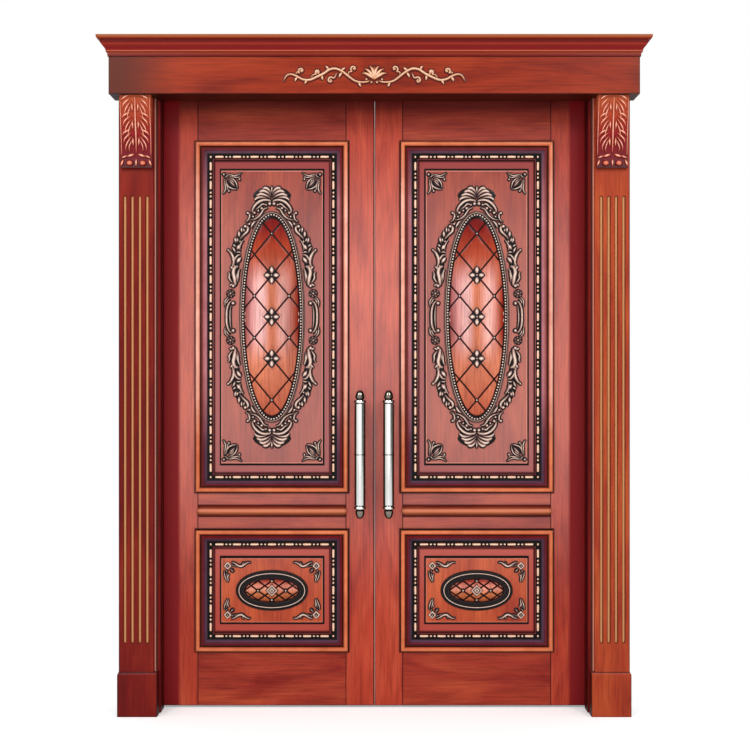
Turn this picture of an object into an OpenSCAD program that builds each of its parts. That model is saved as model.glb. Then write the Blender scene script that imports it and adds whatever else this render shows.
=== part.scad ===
// Carved wooden double door with its frame: two panelled leaves hung in a rebated frame,
// between fluted pilasters that carry a frieze and a crown moulding. Millimetres, Z up.
// X = 0 is the meeting line, Z = 0 the floor, and the viewer stands on the -Y side.

/* [Opening] */
// Clear width between the two jambs
clear_w = 1456; // [1300:1:1700]
// Clear height from the floor to the head
clear_h = 2100; // [1900:1:2300]
// Depth of the reveal in front of the leaves
reveal_d = 65; // [50:1:90]

/* [Leaves] */
// Thickness of a leaf
leaf_t = 45; // [40:1:55]
// Width of the stile that carries the hinges
hinge_stile_w = 126; // [110:1:140]
// Width of the stile that carries the handle
lock_stile_w = 96; // [86:1:110]
// Height of the top rail
top_rail_h = 157; // [130:1:190]
// Height of the mid rail
mid_rail_h = 145; // [120:1:170]
// Height of the bottom rail
bottom_rail_h = 195; // [160:1:230]
// Height of the opening of the lower panel
lower_open_h = 406; // [360:1:460]
// Gap between a leaf and its rebate
leaf_gap = 3; // [2:0.5:5]
// Gap between the two leaves
meeting_gap = 4; // [3:0.5:6]
// Gap between the leaves and the floor
floor_gap = 8; // [5:1:12]
// How far the stop laps over the leaf
stop_lap = 12; // [10:1:16]
// Thickness of a panel at its margin
panel_t = 24; // [18:1:30]
// Depth of the panel's margin behind the face of the leaf
panel_sink = 8; // [6:0.5:10]
// Height of the raised field above the margin
field_rise = 6; // [4:0.5:8]
// Width of the margin at the sides of the field, from the moulding
field_margin_x = 25; // [18:1:35]
// Height of the margin above and below the field, from the moulding
field_margin_z = 36; // [24:1:44]

/* [Panel moulding] */
// Width of the moulding
mould_w = 62; // [56:1:70]
// How far the moulding laps over stiles and rails
mould_lap = 8; // [5:0.5:12]
// Radius of the outer half-round
roll_r = 9; // [7:0.5:11]
// Height of the foot under the half-round
roll_foot = 6; // [4:0.5:8]
// Width of the groove beside the half-round
groove_w = 9; // [6:0.5:11]
// Width of the cove
cove_w = 18; // [15:0.5:20]
// Height of the crest above the cove
crest_h = 13; // [11:0.5:16]
// Width of the channel that holds the beads
channel_w = 14; // [12:0.5:17]
// Depth of the channel behind the face of the leaf
channel_d = 4; // [2:0.5:6]
// Width of the moulding on the back of the leaves
back_mould_w = 24; // [18:1:30]

/* [Bead and reel] */
// Radius of a reel
reel_r = 5; // [4:0.25:6]
// Length of a reel
reel_l = 30; // [24:1:34]
// Radius of a bead
bead_r = 4.2; // [3.5:0.1:5]
// Distance between the two beads of a pair
bead_step = 13; // [12:0.5:15]
// Wanted distance from reel to reel
reel_pitch = 65; // [58:1:70]

/* [Medallion] */
// Half width of the upper dome
dome_a = 95; // [85:1:105]
// Half height of the upper dome
dome_b = 348; // [320:1:370]
// Height of the upper dome
dome_h = 17; // [12:0.5:22]
// Width of the ring round the dome
ring_w = 19; // [16:1:22]
// Height of the ring
ring_h = 8; // [6:0.5:10]
// Half height of the wreath
wreath_hh = 457; // [430:1:480]
// Height of the wreath's carving
wreath_h = 11; // [8:0.5:14]
// Half distance between quilt crossings, across
quilt_x = 60; // [50:1:70]
// Half distance between quilt crossings, upwards
quilt_z = 72; // [60:1:84]
// Depth of the quilting
quilt_d = 5; // [3:0.5:7]
// Half width of the lower dome, as a share of its field's width
low_dome_w_share = 0.27; // [0.24:0.01:0.3]
// Half height of the lower dome, as a share of its field's height
low_dome_h_share = 0.177; // [0.15:0.001:0.2]
// Height of the lower dome
low_dome_h = 11; // [8:0.5:14]
// Width of the ring round the lower dome, as a share of its field's height
low_ring_share = 0.124; // [0.1:0.001:0.14]
// Size of the upper corner carvings
corner_s = 74; // [60:1:84]
// Size of the lower corner carvings, as a share of their field's height
low_corner_share = 0.327; // [0.27:0.001:0.35]
// Inset of the corner carvings from the edge of the field
corner_inset = 9; // [6:0.5:14]
// Height of the corner carvings
corner_h = 7; // [5:0.5:9]

/* [Frame] */
// Thickness of a jamb behind its rebate
jamb_t = 36; // [30:1:50]
// Width of a pilaster
pilaster_w = 126; // [110:1:140]
// Depth of a pilaster in front of the wall
pilaster_d = 45; // [38:1:60]
// Distance from the clear opening to the pilaster
pilaster_off = 8; // [6:1:14]
// Radius of a flute
flute_r = 6; // [5:0.25:7]
// Distance between flutes
flute_step = 25; // [20:0.5:28]
// Height of the foot of the flutes
flute_low = 247; // [220:1:280]
// Height of the top of the flutes
flute_top = 1757; // [1600:1:1800]
// Height of a plinth
plinth_h = 150; // [130:1:180]
// How far a plinth stands out round its pilaster
plinth_out = 4; // [3:0.5:8]
// Height of a corbel
corbel_h = 239; // [210:1:260]
// Width of a corbel
corbel_w = 105; // [90:1:116]
// Depth of a corbel in front of its pilaster
corbel_d = 46; // [36:1:50]
// Height of the frieze
frieze_h = 124; // [100:1:150]
// Depth of the frieze in front of the wall
frieze_d = 100; // [95:1:120]
// How far the frieze hangs below the head
frieze_drop = 13; // [8:1:20]
// How far the frieze stands out past the pilasters
frieze_out = 21; // [12:1:30]
// Height of the crown moulding
crown_h = 64; // [56:1:76]
// How far the crown moulding stands out from the frieze
crown_out = 35; // [24:1:40]
// Half width of the carving on the frieze
spray_hw = 302; // [260:2:330]
// Height of the carving on the frieze
spray_h = 8; // [6:0.5:10]

/* [Handles and hinges] */
// Radius of the pull handle's tube
tube_r = 19; // [15:0.5:22]
// Length of the tube
tube_l = 348; // [300:1:400]
// Height of the middle of the handle
handle_z = 880; // [800:1:1000]
// Distance from the leaf's edge to the axis of the handle
handle_x = 47; // [40:1:54]
// Distance from the leaf to the axis of the handle
handle_out = 52; // [45:1:60]
// Height of a finial
finial_h = 34; // [26:1:42]
// Radius of a handle post
post_r = 9; // [7:0.5:11]
// Number of hinges on a leaf
hinge_count = 4; // [3:1:5]
// Height of a hinge
hinge_h = 125; // [100:5:150]
// Radius of a hinge barrel
barrel_r = 6.5; // [6:0.25:8]
// Radius of a hinge pin
pin_r = 3.2; // [2.5:0.1:3.5]
// Running clearance round a hinge pin
pin_fit = 0.05; // [0.02:0.01:0.08]
// Thickness of a hinge plate
plate_t = 2.4; // [2:0.1:3]

/* [Hidden] */

$fn = 48;
// Overrun of a cut past the faces that it goes through
over = 1;
// Clearance where a piece of a leaf lies near a piece of another body
clear = 0.3;
// Gap that lets a panel swell in its opening
swell = 1;
// Half of the hair line between two mitred lengths
mitre_gap = 0.05;
// Stretch of the upper corner carvings, across and upwards
corner_shape = [0.93, 1.08];
// Depth of the tongue in its groove, and thickness of the tongue
tongue_d = 9;
tongue_t = 12;
// Depth of a panel groove
groove_d = 11;
// Size of the arris bead along a jamb
arris = 4;

// Colours of the finishes
wood = [0.62, 0.22, 0.14];
wood_dark = [0.4, 0.1, 0.08];
wood_gold = [0.8, 0.43, 0.25];
patina = [0.3, 0.16, 0.13];
steel = [0.8, 0.79, 0.76];
rubber = [0.1, 0.09, 0.09];

// The leaf, seen as the right-hand one
half_clear = clear_w / 2;
leaf_x0 = meeting_gap / 2;
leaf_x1 = half_clear + stop_lap - leaf_gap;
leaf_z0 = floor_gap;
leaf_z1 = clear_h + stop_lap - leaf_gap;
open_x0 = leaf_x0 + lock_stile_w;
open_x1 = leaf_x1 - hinge_stile_w;
open_w = open_x1 - open_x0;
open_x = (open_x0 + open_x1) / 2;
low_z0 = leaf_z0 + bottom_rail_h;
low_z1 = low_z0 + lower_open_h;
up_z0 = low_z1 + mid_rail_h;
up_z1 = leaf_z1 - top_rail_h;
up_z = (up_z0 + up_z1) / 2;
low_z = (low_z0 + low_z1) / 2;
up_h = up_z1 - up_z0;
field_w = open_w + 2 * mould_lap - 2 * mould_w - 2 * field_margin_x;
field_up_h = up_h + 2 * mould_lap - 2 * mould_w - 2 * field_margin_z;
field_low_h = lower_open_h + 2 * mould_lap - 2 * mould_w - 2 * field_margin_z;
field_v = field_rise - panel_sink;
low_dome_a = low_dome_w_share * field_w;
low_dome_b = low_dome_h_share * field_low_h;
low_ring_w = low_ring_share * field_low_h;
low_corner_s = low_corner_share * field_low_h;

// The frame
jamb_d = reveal_d + leaf_t;
seal_gap = 3;
pilaster_x0 = half_clear + pilaster_off;
pilaster_x1 = pilaster_x0 + pilaster_w;
pilaster_x = (pilaster_x0 + pilaster_x1) / 2;
frieze_z0 = clear_h - frieze_drop;
frieze_z1 = frieze_z0 + frieze_h;
frieze_hw = pilaster_x1 + frieze_out;
head_h = stop_lap + jamb_t;
crown_z1 = frieze_z1 + crown_h;

// Hinges: the pin stands in the gap between leaf and jamb, just behind both
pin_x = leaf_x1 + leaf_gap / 2;
pin_y = jamb_d + barrel_r + clear + clear;
knuckles = 5;
knuckle_gap = 0.3;
pitch_z = (leaf_z1 - leaf_z0 - hinge_h) / hinge_count;

// Distance of the wall's face behind the middle of the whole depth
wall_y = (frieze_d + crown_out - pin_y - barrel_r) / 2;

// Places and mirroring
module at_wall() translate([0, wall_y, 0]) children();
module both() for (s = [0, 1]) mirror([s, 0, 0]) children();
module hand(left) mirror([left ? 1 : 0, 0, 0]) children();
// Drawn flat with Z outwards, then stood up on a face v in front of the leaf's face
module on_leaf(x, z, v) at_wall() translate([x, reveal_d - v, z]) rotate([90, 0, 0]) children();
// A block given by its two corners
module block(a, b) translate(a) cube(b - a);

// The frame's pieces

// Plan of a jamb: reveal, stop, rebate for the leaf and a bead along the front arris
module jamb_plan() {
    stop_y = reveal_d - seal_gap;
    polygon([
        [half_clear + arris, 0], [half_clear + arris, arris], [half_clear, arris],
        [half_clear, stop_y], [half_clear + stop_lap, stop_y],
        [half_clear + stop_lap, jamb_d], [half_clear + stop_lap + jamb_t, jamb_d],
        [half_clear + stop_lap + jamb_t, 0]
    ]);
}

module jamb(left) color(wood_dark) hand(left) at_wall() difference() {
    linear_extrude(clear_h) jamb_plan();
    for (i = [0 : hinge_count - 1])
        translate([half_clear + stop_lap - over, jamb_d - hinge_plate_d(), hinge_z(i) - clear])
            cube([plate_t + over + clear / 3, hinge_plate_d() + over, hinge_h + clear + clear]);
}

module head_jamb() color(wood_dark) at_wall() {
    stop_y = reveal_d - seal_gap;
    reach = half_clear + stop_lap + jamb_t;
    translate([-reach, 0, 0]) rotate([90, 0, 90]) linear_extrude(2 * reach) polygon([
        [arris, clear_h], [stop_y, clear_h], [stop_y, clear_h + stop_lap],
        [jamb_d, clear_h + stop_lap], [jamb_d, clear_h + head_h], [0, clear_h + head_h],
        [0, clear_h + arris], [arris, clear_h + arris]
    ]);
}

// A round-ended groove, stood upright
module flute() {
    translate([0, 0, flute_low + flute_r])
        cylinder(r = flute_r, h = flute_top - flute_low - 2 * flute_r);
    for (z = [flute_low + flute_r, flute_top - flute_r]) translate([0, 0, z]) sphere(flute_r);
}

module pilaster(left) color(wood) hand(left) at_wall() {
    step_w = pilaster_off;
    difference() {
        translate([0, 0, plinth_h]) linear_extrude(frieze_z0 - plinth_h) polygon([
            [pilaster_x0, 0], [pilaster_x0, -pilaster_d + step_w],
            [pilaster_x0 + step_w, -pilaster_d + step_w], [pilaster_x0 + step_w, -pilaster_d],
            [pilaster_x1 - arris, -pilaster_d], [pilaster_x1, -pilaster_d + arris],
            [pilaster_x1, 0]
        ]);
        for (k = [-1.5 : 1 : 1.5])
            translate([pilaster_x + step_w / 2 + k * flute_step, -pilaster_d, 0]) flute();
    }
}

// A block whose top edge is cut back to a narrow slope on three sides
module plinth(left) color(wood) hand(left) at_wall() {
    x0 = pilaster_x0 - plinth_out;
    x1 = pilaster_x1 + plinth_out;
    y0 = -pilaster_d - plinth_out;
    slope = 2 * plinth_out;
    intersection() {
        rotate([90, 0, 0]) linear_extrude(-y0) polygon([
            [x0, 0], [x1, 0], [x1, plinth_h - slope], [x1 - plinth_out, plinth_h],
            [x0 + plinth_out, plinth_h], [x0, plinth_h - slope]
        ]);
        translate([x0, 0, 0]) rotate([90, 0, 90]) linear_extrude(x1 - x0) polygon([
            [0, 0], [y0, 0], [y0, plinth_h - slope], [y0 + plinth_out, plinth_h], [0, plinth_h]
        ]);
    }
}

// Front, two returns and a soffit, open at the back towards the wall
module frieze_board() color(wood) at_wall() {
    board = frieze_d / 4;
    difference() {
        block([-frieze_hw, -frieze_d, frieze_z0], [frieze_hw, 0, frieze_z1]);
        block([-frieze_hw + board, -frieze_d + board, frieze_z0 + board],
              [frieze_hw - board, over, frieze_z1 + over]);
    }
}

// Outer line of the crown from its foot to its lip, starting at the distance inner:
// shares of how far it stands out and of its height
crown_share = [[0, 0], [0.1, 0], [0.1, 0.22], [0.24, 0.22], [0.24, 0.28], [0.4, 0.36],
    [0.56, 0.52], [0.64, 0.68], [0.7, 0.72], [0.7, 0.76], [0.8, 0.76], [0.93, 0.82], [1, 0.92],
    [1, 1]];
function crown_line(inner) =
    [for (q = crown_share) [inner + q[0] * crown_out, q[1] * crown_h]];
function flip(line) = [for (i = [len(line) - 1 : -1 : 0]) [-line[i][0], line[i][1]]];

// The same line runs along the front and both ends, so the mitres follow by themselves
module crown_moulding() color(wood) at_wall() translate([0, 0, frieze_z1]) intersection() {
    rotate([90, 0, 0]) linear_extrude(frieze_d + crown_out)
        polygon(concat(crown_line(frieze_hw), flip(crown_line(frieze_hw))));
    translate([-frieze_hw - crown_out, 0, 0]) rotate([90, 0, 90])
        linear_extrude(2 * (frieze_hw + crown_out))
            polygon(concat([[0, 0], [0, crown_h]], flip(crown_line(frieze_d))));
}

module rebate_seals() color(rubber) at_wall() {
    w = stop_lap / 2;
    y = reveal_d - seal_gap;
    t = seal_gap - clear;
    both() block([half_clear + w / 2, y, 0], [half_clear + w / 2 + w, y + t, clear_h + w / 2]);
    block([-half_clear - w / 2, y, clear_h + w / 2],
          [half_clear + w / 2, y + t, clear_h + w / 2 + w]);
}

// Carving: strokes with a sharp ridge, drawn flat with Z outwards

function unit(v) = v / max(norm(v), 1e-6);
function turn(v) = [-v[1], v[0]];
function way(p, i) = unit(p[min(i + 1, len(p) - 1)] - p[max(i - 1, 0)]);
// A smooth value along a stroke: slim at both ends and full at the share m
function swell_at(t, m) = t < m ? 0.35 + 0.65 * t / m : 1 - 0.85 * (t - m) / (1 - m);

// A stroke along points p, w wide and h high at its fullest place m
module stroke(p, w, h, m = 0.4) {
    n = len(p);
    wide = [for (i = [0 : n - 1]) w / 2 * swell_at(i / (n - 1), m)];
    top = [for (i = [0 : n - 1]) h * (0.4 + 0.6 * swell_at(i / (n - 1), m))];
    v = [for (i = [0 : n - 1]) let (s = turn(way(p, i)) * wide[i]) each [
        [p[i][0] + s[0], p[i][1] + s[1], 0], [p[i][0], p[i][1], top[i]],
        [p[i][0] - s[0], p[i][1] - s[1], 0]
    ]];
    sides = [for (i = [0 : n - 2]) let (a = 3 * i, b = a + 3) each [
        [a, b, b + 1], [a, b + 1, a + 1], [a + 2, a + 1, b + 1], [a + 2, b + 1, b + 2],
        [a, a + 2, b + 2], [a, b + 2, b]
    ]];
    e = 3 * n;
    polyhedron(v, concat([[0, 1, 2]], sides, [[e - 1, e - 2, e - 3]]));
}

// A small knob with sloping sides
module pearl(p, r, h) translate([p[0], p[1], 0]) hull() cylinder(h = h, r1 = r, r2 = 0, $fn = 5);

// A leaf from a to b with one peak, which bows sideways by the share k of its length
module petal(a, b, w, h, k = 0) {
    d = b - a;
    m = a + d * 0.55 + turn(d) * k;
    s = turn(unit(d)) * w / 2;
    polyhedron(
        [[a[0], a[1], 0], [m[0] + s[0], m[1] + s[1], 0], [b[0], b[1], 0],
            [m[0] - s[0], m[1] - s[1], 0], [m[0], m[1], h]],
        [[0, 1, 4], [1, 2, 4], [2, 3, 4], [3, 0, 4], [0, 3, 1], [1, 3, 2]]
    );
}

// The wreath, one quarter: places are shares of its half height
scroll_a_share = [[0.022, 0.86], [0.04, 0.89], [0.085, 0.887], [0.125, 0.858], [0.148, 0.81]];
scroll_b_share = [[0.184, 0.787], [0.166, 0.765], [0.172, 0.738], [0.197, 0.712]];
scroll_c_share = [[0.2, 0.689], [0.18, 0.665], [0.19, 0.63], [0.221, 0.603], [0.25, 0.575]];
outer_leaf_share = [[0.329, 0.505], [0.303, 0.484], [0.287, 0.45], [0.29, 0.4]];
hook_share = [[0.228, 0.489], [0.263, 0.463], [0.281, 0.409], [0.27, 0.36]];
acanthus_share = [[0.242, 0.385], [0.276, 0.356], [0.289, 0.297], [0.3, 0.244]];
mid_scroll_share = [[0.288, 0.104], [0.32, 0.079], [0.334, 0.03], [0.335, -0.004]];
link_share = [[0.29, 0.26], [0.283, 0.18], [0.288, 0.104]];
pearl_share = [[0.045, 0.85], [0.1, 0.806], [0.146, 0.763]];
ball_share = [[0.022, 0.857], [0.14, 0.79], [0.187, 0.787], [0.203, 0.689], [0.303, 0.244],
    [0.288, 0.104]];
fern_share = [[[0.2, 0.66], [0.237, 0.681]], [[0.215, 0.625], [0.262, 0.645]],
    [[0.24, 0.59], [0.285, 0.612]], [[0.25, 0.57], [0.262, 0.52]]];
leaf_side_share = [[[0.28, 0.35], [0.225, 0.33]], [[0.287, 0.31], [0.245, 0.272]],
    [[0.285, 0.33], [0.322, 0.3]]];
rosette_share = [0.31, 0.183];
shell_root_share = [0, 0.872];

module wreath_quarter() {
    k = wreath_hh;
    w = k * 0.03;
    stroke(scroll_a_share * k, w, wreath_h, 0.5);
    stroke(scroll_b_share * k, w, wreath_h * 0.9);
    stroke(scroll_c_share * k, w, wreath_h);
    stroke(outer_leaf_share * k, w * 1.3, wreath_h * 0.9, 0.6);
    stroke(hook_share * k, w * 1.2, wreath_h * 0.8, 0.6);
    stroke(acanthus_share * k, w * 1.6, wreath_h);
    stroke(mid_scroll_share * k, w, wreath_h, 0.9);
    stroke(link_share * k, w * 0.8, wreath_h * 0.6, 0.5);
    for (q = fern_share) petal(q[0] * k, q[1] * k, w * 1.1, wreath_h * 0.8, 0.1);
    for (q = leaf_side_share) petal(q[0] * k, q[1] * k, w, wreath_h * 0.8, 0.15);
    for (q = pearl_share) pearl(q * k, w * 0.32, wreath_h * 0.7);
    for (q = ball_share) pearl(q * k, w * 0.48, wreath_h * 0.9);
    for (i = [0 : 4])
        petal(rosette_share * k, (rosette_share + 0.04 * [cos(72 * i), sin(72 * i)]) * k, w * 0.9,
            wreath_h * 0.8);
}

// Half of the shell that crowns the wreath: lobes fan out from one root
module shell_half() {
    k = wreath_hh;
    root = shell_root_share * k;
    for (i = [0 : 3]) {
        a = 74 - 20 * i;
        tip = root + [cos(a) * k * 0.128, sin(a) * k * 0.118];
        petal(root + (tip - root) * 0.12, tip, k * 0.034, wreath_h, -0.06);
    }
}

module wreath(left) color(patina) hand(left) on_leaf(open_x, up_z, field_v)
    for (s = [0, 1], t = [0, 1]) mirror([s, 0]) mirror([0, t]) {
        wreath_quarter();
        shell_half();
        if (s == 0) petal(shell_root_share * wreath_hh, [0, wreath_hh], wreath_hh * 0.034, wreath_h);
    }

// A corner spray for the corner at the lower left of a field; s is its size, w and h stretch it
module corner_spray(s, w, h) {
    function at(x, y) = [x * w, y * h] * s;
    u = s * 0.17;
    pearl(at(0.1, 0.1), u * 0.45, corner_h);
    stroke([at(0.14, 0.18), at(0.3, 0.55), at(0.72, 0.82), at(0.8, 0.62)], u * 0.8, corner_h, 0.5);
    stroke([at(0.18, 0.14), at(0.55, 0.3), at(0.82, 0.68)], u * 0.8, corner_h, 0.5);
    petal(at(0.22, 0.22), at(0.68, 0.64), u * 1.5, corner_h);
    stroke([at(0.16, 0.2), at(0.2, 0.6), at(0.02, 1)], u, corner_h, 0.5);
    stroke([at(0.2, 0.16), at(0.6, 0.2), at(1, 0.02)], u, corner_h, 0.5);
    pearl(at(0.34, 0.92), u * 0.4, corner_h * 0.8);
    pearl(at(0.92, 0.34), u * 0.4, corner_h * 0.8);
}

// The lower panel's spray: a diamond flower, a waving leaf along the field, a bud and a short leaf
wave_share = [[0.34, 0.1], [0.54, 0.14], [0.72, 0.25], [0.86, 0.27], [0.99, 0.19], [1.13, 0.1],
    [1.32, 0.11]];
short_share = [[0.16, 0.5], [0.06, 0.68], [0.1, 0.87], [0.2, 1.06]];
bud_share = [[[0.86, 0.24], [0.98, 0]], [[0.36, 0.24], [0.64, 0.3]], [[0.3, 0.38], [0.52, 0.6]],
    [[0.2, 0.46], [0.26, 0.98]]];
flower_share = [0.2, 0.25];

module low_corner_spray(s) {
    u = s * 0.15;
    for (a = [0, 90, 180, 270])
        petal(flower_share * s, (flower_share + [cos(a), sin(a)] * 0.2) * s, u * 1.1, corner_h);
    stroke(wave_share * s, u * 1.1, corner_h, 0.55);
    stroke(short_share * s, u * 0.7, corner_h, 0.4);
    pearl(flower_share * s, u * 0.5, corner_h * 1.1);
    for (q = bud_share) petal(q[0] * s, q[1] * s, u * 0.8, corner_h * 0.9);
}

module corners(left, z, fw, fh) color(patina) hand(left) on_leaf(open_x, z, field_v)
    for (a = [0, 1], b = [0, 1]) mirror([a, 0]) mirror([0, b])
        translate([corner_inset - fw / 2, corner_inset - fh / 2]) children();

// A raised oval given by its half axes, with many straight edges
function oval(a, b, n = 72) = [for (i = [0 : n - 1]) [a * cos(360 * i / n), b * sin(360 * i / n)]];
module oval_slab(a, b, h) linear_extrude(h) polygon(oval(a, b));

// Height of a quilted dome: a round crown with pillows between the seams
function pillow(p, q) = pow(abs(sin(180 * p) * sin(180 * q)), 0.5);
function crown_at(x, y, a, b) =
    sqrt(max(0.02, 1 - pow(x / a / 1.04, 2) - pow(y / b / 1.04, 2)));
// Places of the sample lines within one quilt square
sample_share = [0, 0.2, 0.8];

// The quilted top over the squares from -n to n, cut to an oval
module quilt_dome(a, b, h, dx, dy, n, samples) intersection() {
    lines = concat([for (i = [-n : n - 1], f = samples) i + f], [n]);
    m = len(lines);
    top = [for (p = lines, q = lines) let (x = (p + q) * dx, y = (p - q) * dy)
        [x, y, (h - quilt_d) * crown_at(x, y, a, b) + quilt_d * pillow(p - n, q - n)]];
    low = [for (v = top) [v[0], v[1], -over]];
    c = m * m;
    cells = [for (i = [0 : m - 2], j = [0 : m - 2]) let (e = i * m + j, f = e + m) each [
        [e, f, f + 1], [e, f + 1, e + 1], [c + e, c + f + 1, c + f], [c + e, c + e + 1, c + f + 1]
    ]];
    rims = [for (i = [0 : m - 2]) let (e = i * m, f = e + m, g = m * (m - 1) + i) each [
        [e, c + e, c + f], [e, c + f, f],
        [e + m - 1, f + m - 1, c + f + m - 1], [e + m - 1, c + f + m - 1, c + e + m - 1],
        [i, i + 1, c + i + 1], [i, c + i + 1, c + i],
        [g, c + g, c + g + 1], [g, c + g + 1, g + 1]
    ]];
    polyhedron(concat(top, low), concat(cells, rims));
    linear_extrude(h + quilt_d) polygon(oval(a, b, 48));
}

// A flower of four petals and a knob, sat at a crossing of the seams
module quilt_flower(x, y, z, r) translate([x, y, 0]) {
    for (i = [0 : 3]) rotate(90 * i) hull() {
        cylinder(r1 = r * 0.2, r2 = r * 0.1, h = z, $fn = 4);
        translate([r * 0.5, 0]) cylinder(r1 = r * 0.42, r2 = r * 0.1, h = z * 0.96, $fn = 4);
    }
    pearl([0, 0], r * 0.24, z + r * 0.12);
}

// A round button with a sloping rim
module button(x, y, r, z) translate([x, y, 0]) cylinder(r1 = r, r2 = r * 0.6, h = z, $fn = 24);

module upper_dome(left) color(wood_gold) hand(left) on_leaf(open_x, up_z, field_v) {
    quilt_dome(dome_a, dome_b, dome_h, quilt_x, quilt_z, 3, sample_share);
    for (j = [-2, 0, 2]) quilt_flower(0, j * quilt_z, dome_h - quilt_d / 3, quilt_x * 0.46);
    for (j = [-1, 1]) for (i = [-1, 1])
        pearl([i * quilt_x, j * quilt_z], quilt_x * 0.12, dome_h * 0.75);
}

module lower_dome(left) color(wood_gold) hand(left) on_leaf(open_x, low_z, field_v) {
    quilt_dome(low_dome_a, low_dome_b, low_dome_h, low_dome_a / 4, low_dome_b * 0.41, 3, [0, 0.5]);
    quilt_flower(0, 0, low_dome_h - quilt_d / 3, low_dome_b * 0.47);
    for (i = [-1, 1]) {
        button(i * low_dome_a / 2, 0, low_dome_b * 0.12, low_dome_h * 0.9);
        button(0, i * low_dome_b * 0.8, low_dome_b * 0.1, low_dome_h * 0.7);
    }
}

// A ring of two steps round a dome, with a row of half-round beads between them
module upper_ring(left) color(patina) hand(left) on_leaf(open_x, up_z, field_v) {
    foot = ring_h / 2;
    lip = ring_w / 4;
    bead = ring_w * 0.17;
    difference() {
        union() {
            oval_slab(dome_a + ring_w, dome_b + ring_w, foot);
            difference() {
                oval_slab(dome_a + ring_w - lip / 3, dome_b + ring_w - lip / 3, ring_h);
                translate([0, 0, -over])
                    oval_slab(dome_a + ring_w - lip, dome_b + ring_w - lip, ring_h + 2 * over);
            }
        }
        translate([0, 0, -over]) oval_slab(dome_a + clear, dome_b + clear, ring_h + 2 * over);
    }
    a = dome_a + ring_w * 0.42;
    b = dome_b + ring_w * 0.42;
    n = round(PI * (3 * (a + b) - sqrt((3 * a + b) * (a + 3 * b))) / (bead * 4));
    for (p = oval(a, b, n)) translate([p[0], p[1], foot]) rotate_extrude() half_disc(bead);
}

module half_disc(r) intersection() {
    circle(r);
    square(r);
}

module lower_ring(left) color(patina) hand(left) on_leaf(open_x, low_z, field_v) difference() {
    union() {
        oval_slab(low_dome_a + low_ring_w, low_dome_b + low_ring_w, ring_h / 2);
        oval_slab(low_dome_a + low_ring_w * 0.7, low_dome_b + low_ring_w * 0.7, ring_h);
    }
    translate([0, 0, -over])
        oval_slab(low_dome_a + clear, low_dome_b + clear, ring_h + 2 * over);
}

// The leaves

module rail(left, z0, z1) color(wood) hand(left) at_wall() {
    t0 = reveal_d + (leaf_t - tongue_t) / 2 - clear;
    difference() {
        block([open_x0, reveal_d, z0], [open_x1, jamb_d, z1]);
        if (z0 > leaf_z0) block([open_x0 - over, t0, z0 - over],
            [open_x1 + over, t0 + tongue_t + 2 * clear, z0 + groove_d]);
        if (z1 < leaf_z1) block([open_x0 - over, t0, z1 - groove_d],
            [open_x1 + over, t0 + tongue_t + 2 * clear, z1 + over]);
    }
}

// A stile with a groove beside each panel
module stile_grooves(x0, x1) {
    t0 = reveal_d + (leaf_t - tongue_t) / 2 - clear;
    for (z = [[low_z0, low_z1], [up_z0, up_z1]])
        block([x0, t0, z[0] - groove_d], [x1, t0 + tongue_t + 2 * clear, z[1] + groove_d]);
}

module hinge_stile(left) color(wood) hand(left) at_wall() difference() {
    block([open_x1, reveal_d, leaf_z0], [leaf_x1, jamb_d, leaf_z1]);
    stile_grooves(open_x1 - over, open_x1 + groove_d);
    for (i = [0 : hinge_count - 1])
        block([leaf_x1 - plate_t - clear / 3, jamb_d - hinge_plate_d(), hinge_z(i) - clear],
              [leaf_x1 + over, jamb_d + over, hinge_z(i) + hinge_h + clear]);
}

module lock_stile(left) color(wood) hand(left) at_wall() difference() {
    block([leaf_x0, reveal_d, leaf_z0], [open_x0, jamb_d, leaf_z1]);
    stile_grooves(open_x0 - groove_d, open_x0 + over);
}

// A raised panel: a tongue all round, a margin and a field on both faces
module panel(left, z, w, h) color(wood_gold) hand(left) at_wall() {
    front = reveal_d + panel_sink;
    mid = reveal_d + leaf_t / 2;
    fw = field_w / 2;
    fh = (h + 2 * mould_lap - 2 * mould_w - 2 * field_margin_z) / 2;
    hw = w / 2 - swell;
    hh = h / 2 - swell;
    reach = tongue_d + swell;
    translate([open_x, 0, z]) {
        block([-hw, front, -hh], [hw, front + panel_t, hh]);
        block([-hw - reach, mid - tongue_t / 2, -hh - reach],
              [hw + reach, mid + tongue_t / 2, hh + reach]);
        block([-fw, front - field_rise, -fh], [fw, front, fh]);
        block([-fw, front + panel_t, -fh], [fw, front + panel_t + field_rise, fh]);
    }
}

// Section of the front moulding: u runs inwards from its outer edge, v in front of the leaf
module mould_section() {
    u1 = 2 * roll_r;
    u2 = u1 + groove_w;
    u3 = u2 + cove_w;
    u4 = u3 + channel_w;
    crest = cove_w / 9;
    difference() {
        union() {
            polygon([
                [0, 0], [0, roll_foot], [u2, roll_foot], [u2, crest_h], [u3, crest_h],
                [u3, -channel_d], [u4, -channel_d], [u4, 0], [mould_w, 0],
                [mould_w, -panel_sink], [mould_lap, -panel_sink], [mould_lap, 0]
            ]);
            translate([roll_r, roll_foot]) intersection() {
                circle(roll_r);
                translate([-roll_r, 0]) square(2 * roll_r);
            }
        }
        translate([u3, crest_h]) circle(cove_w - crest);
    }
}

// Four mitred lengths round a rectangle of w by h; the section is the child, m its width
module mitred_loop(w, h, m, low, top) for (i = [0 : 3]) rotate(90 * i) {
    l = i % 2 == 0 ? w : h;
    d = i % 2 == 0 ? h : w;
    g = mitre_gap;
    intersection() {
        translate([-l / 2, -d / 2, 0]) rotate([90, 0, 90]) linear_extrude(l) children();
        translate([0, 0, low]) linear_extrude(top - low) polygon([
            [g - l / 2, -d / 2], [l / 2 - g, -d / 2],
            [l / 2 - m - g, m - d / 2], [m + g - l / 2, m - d / 2]
        ]);
    }
}

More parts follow.
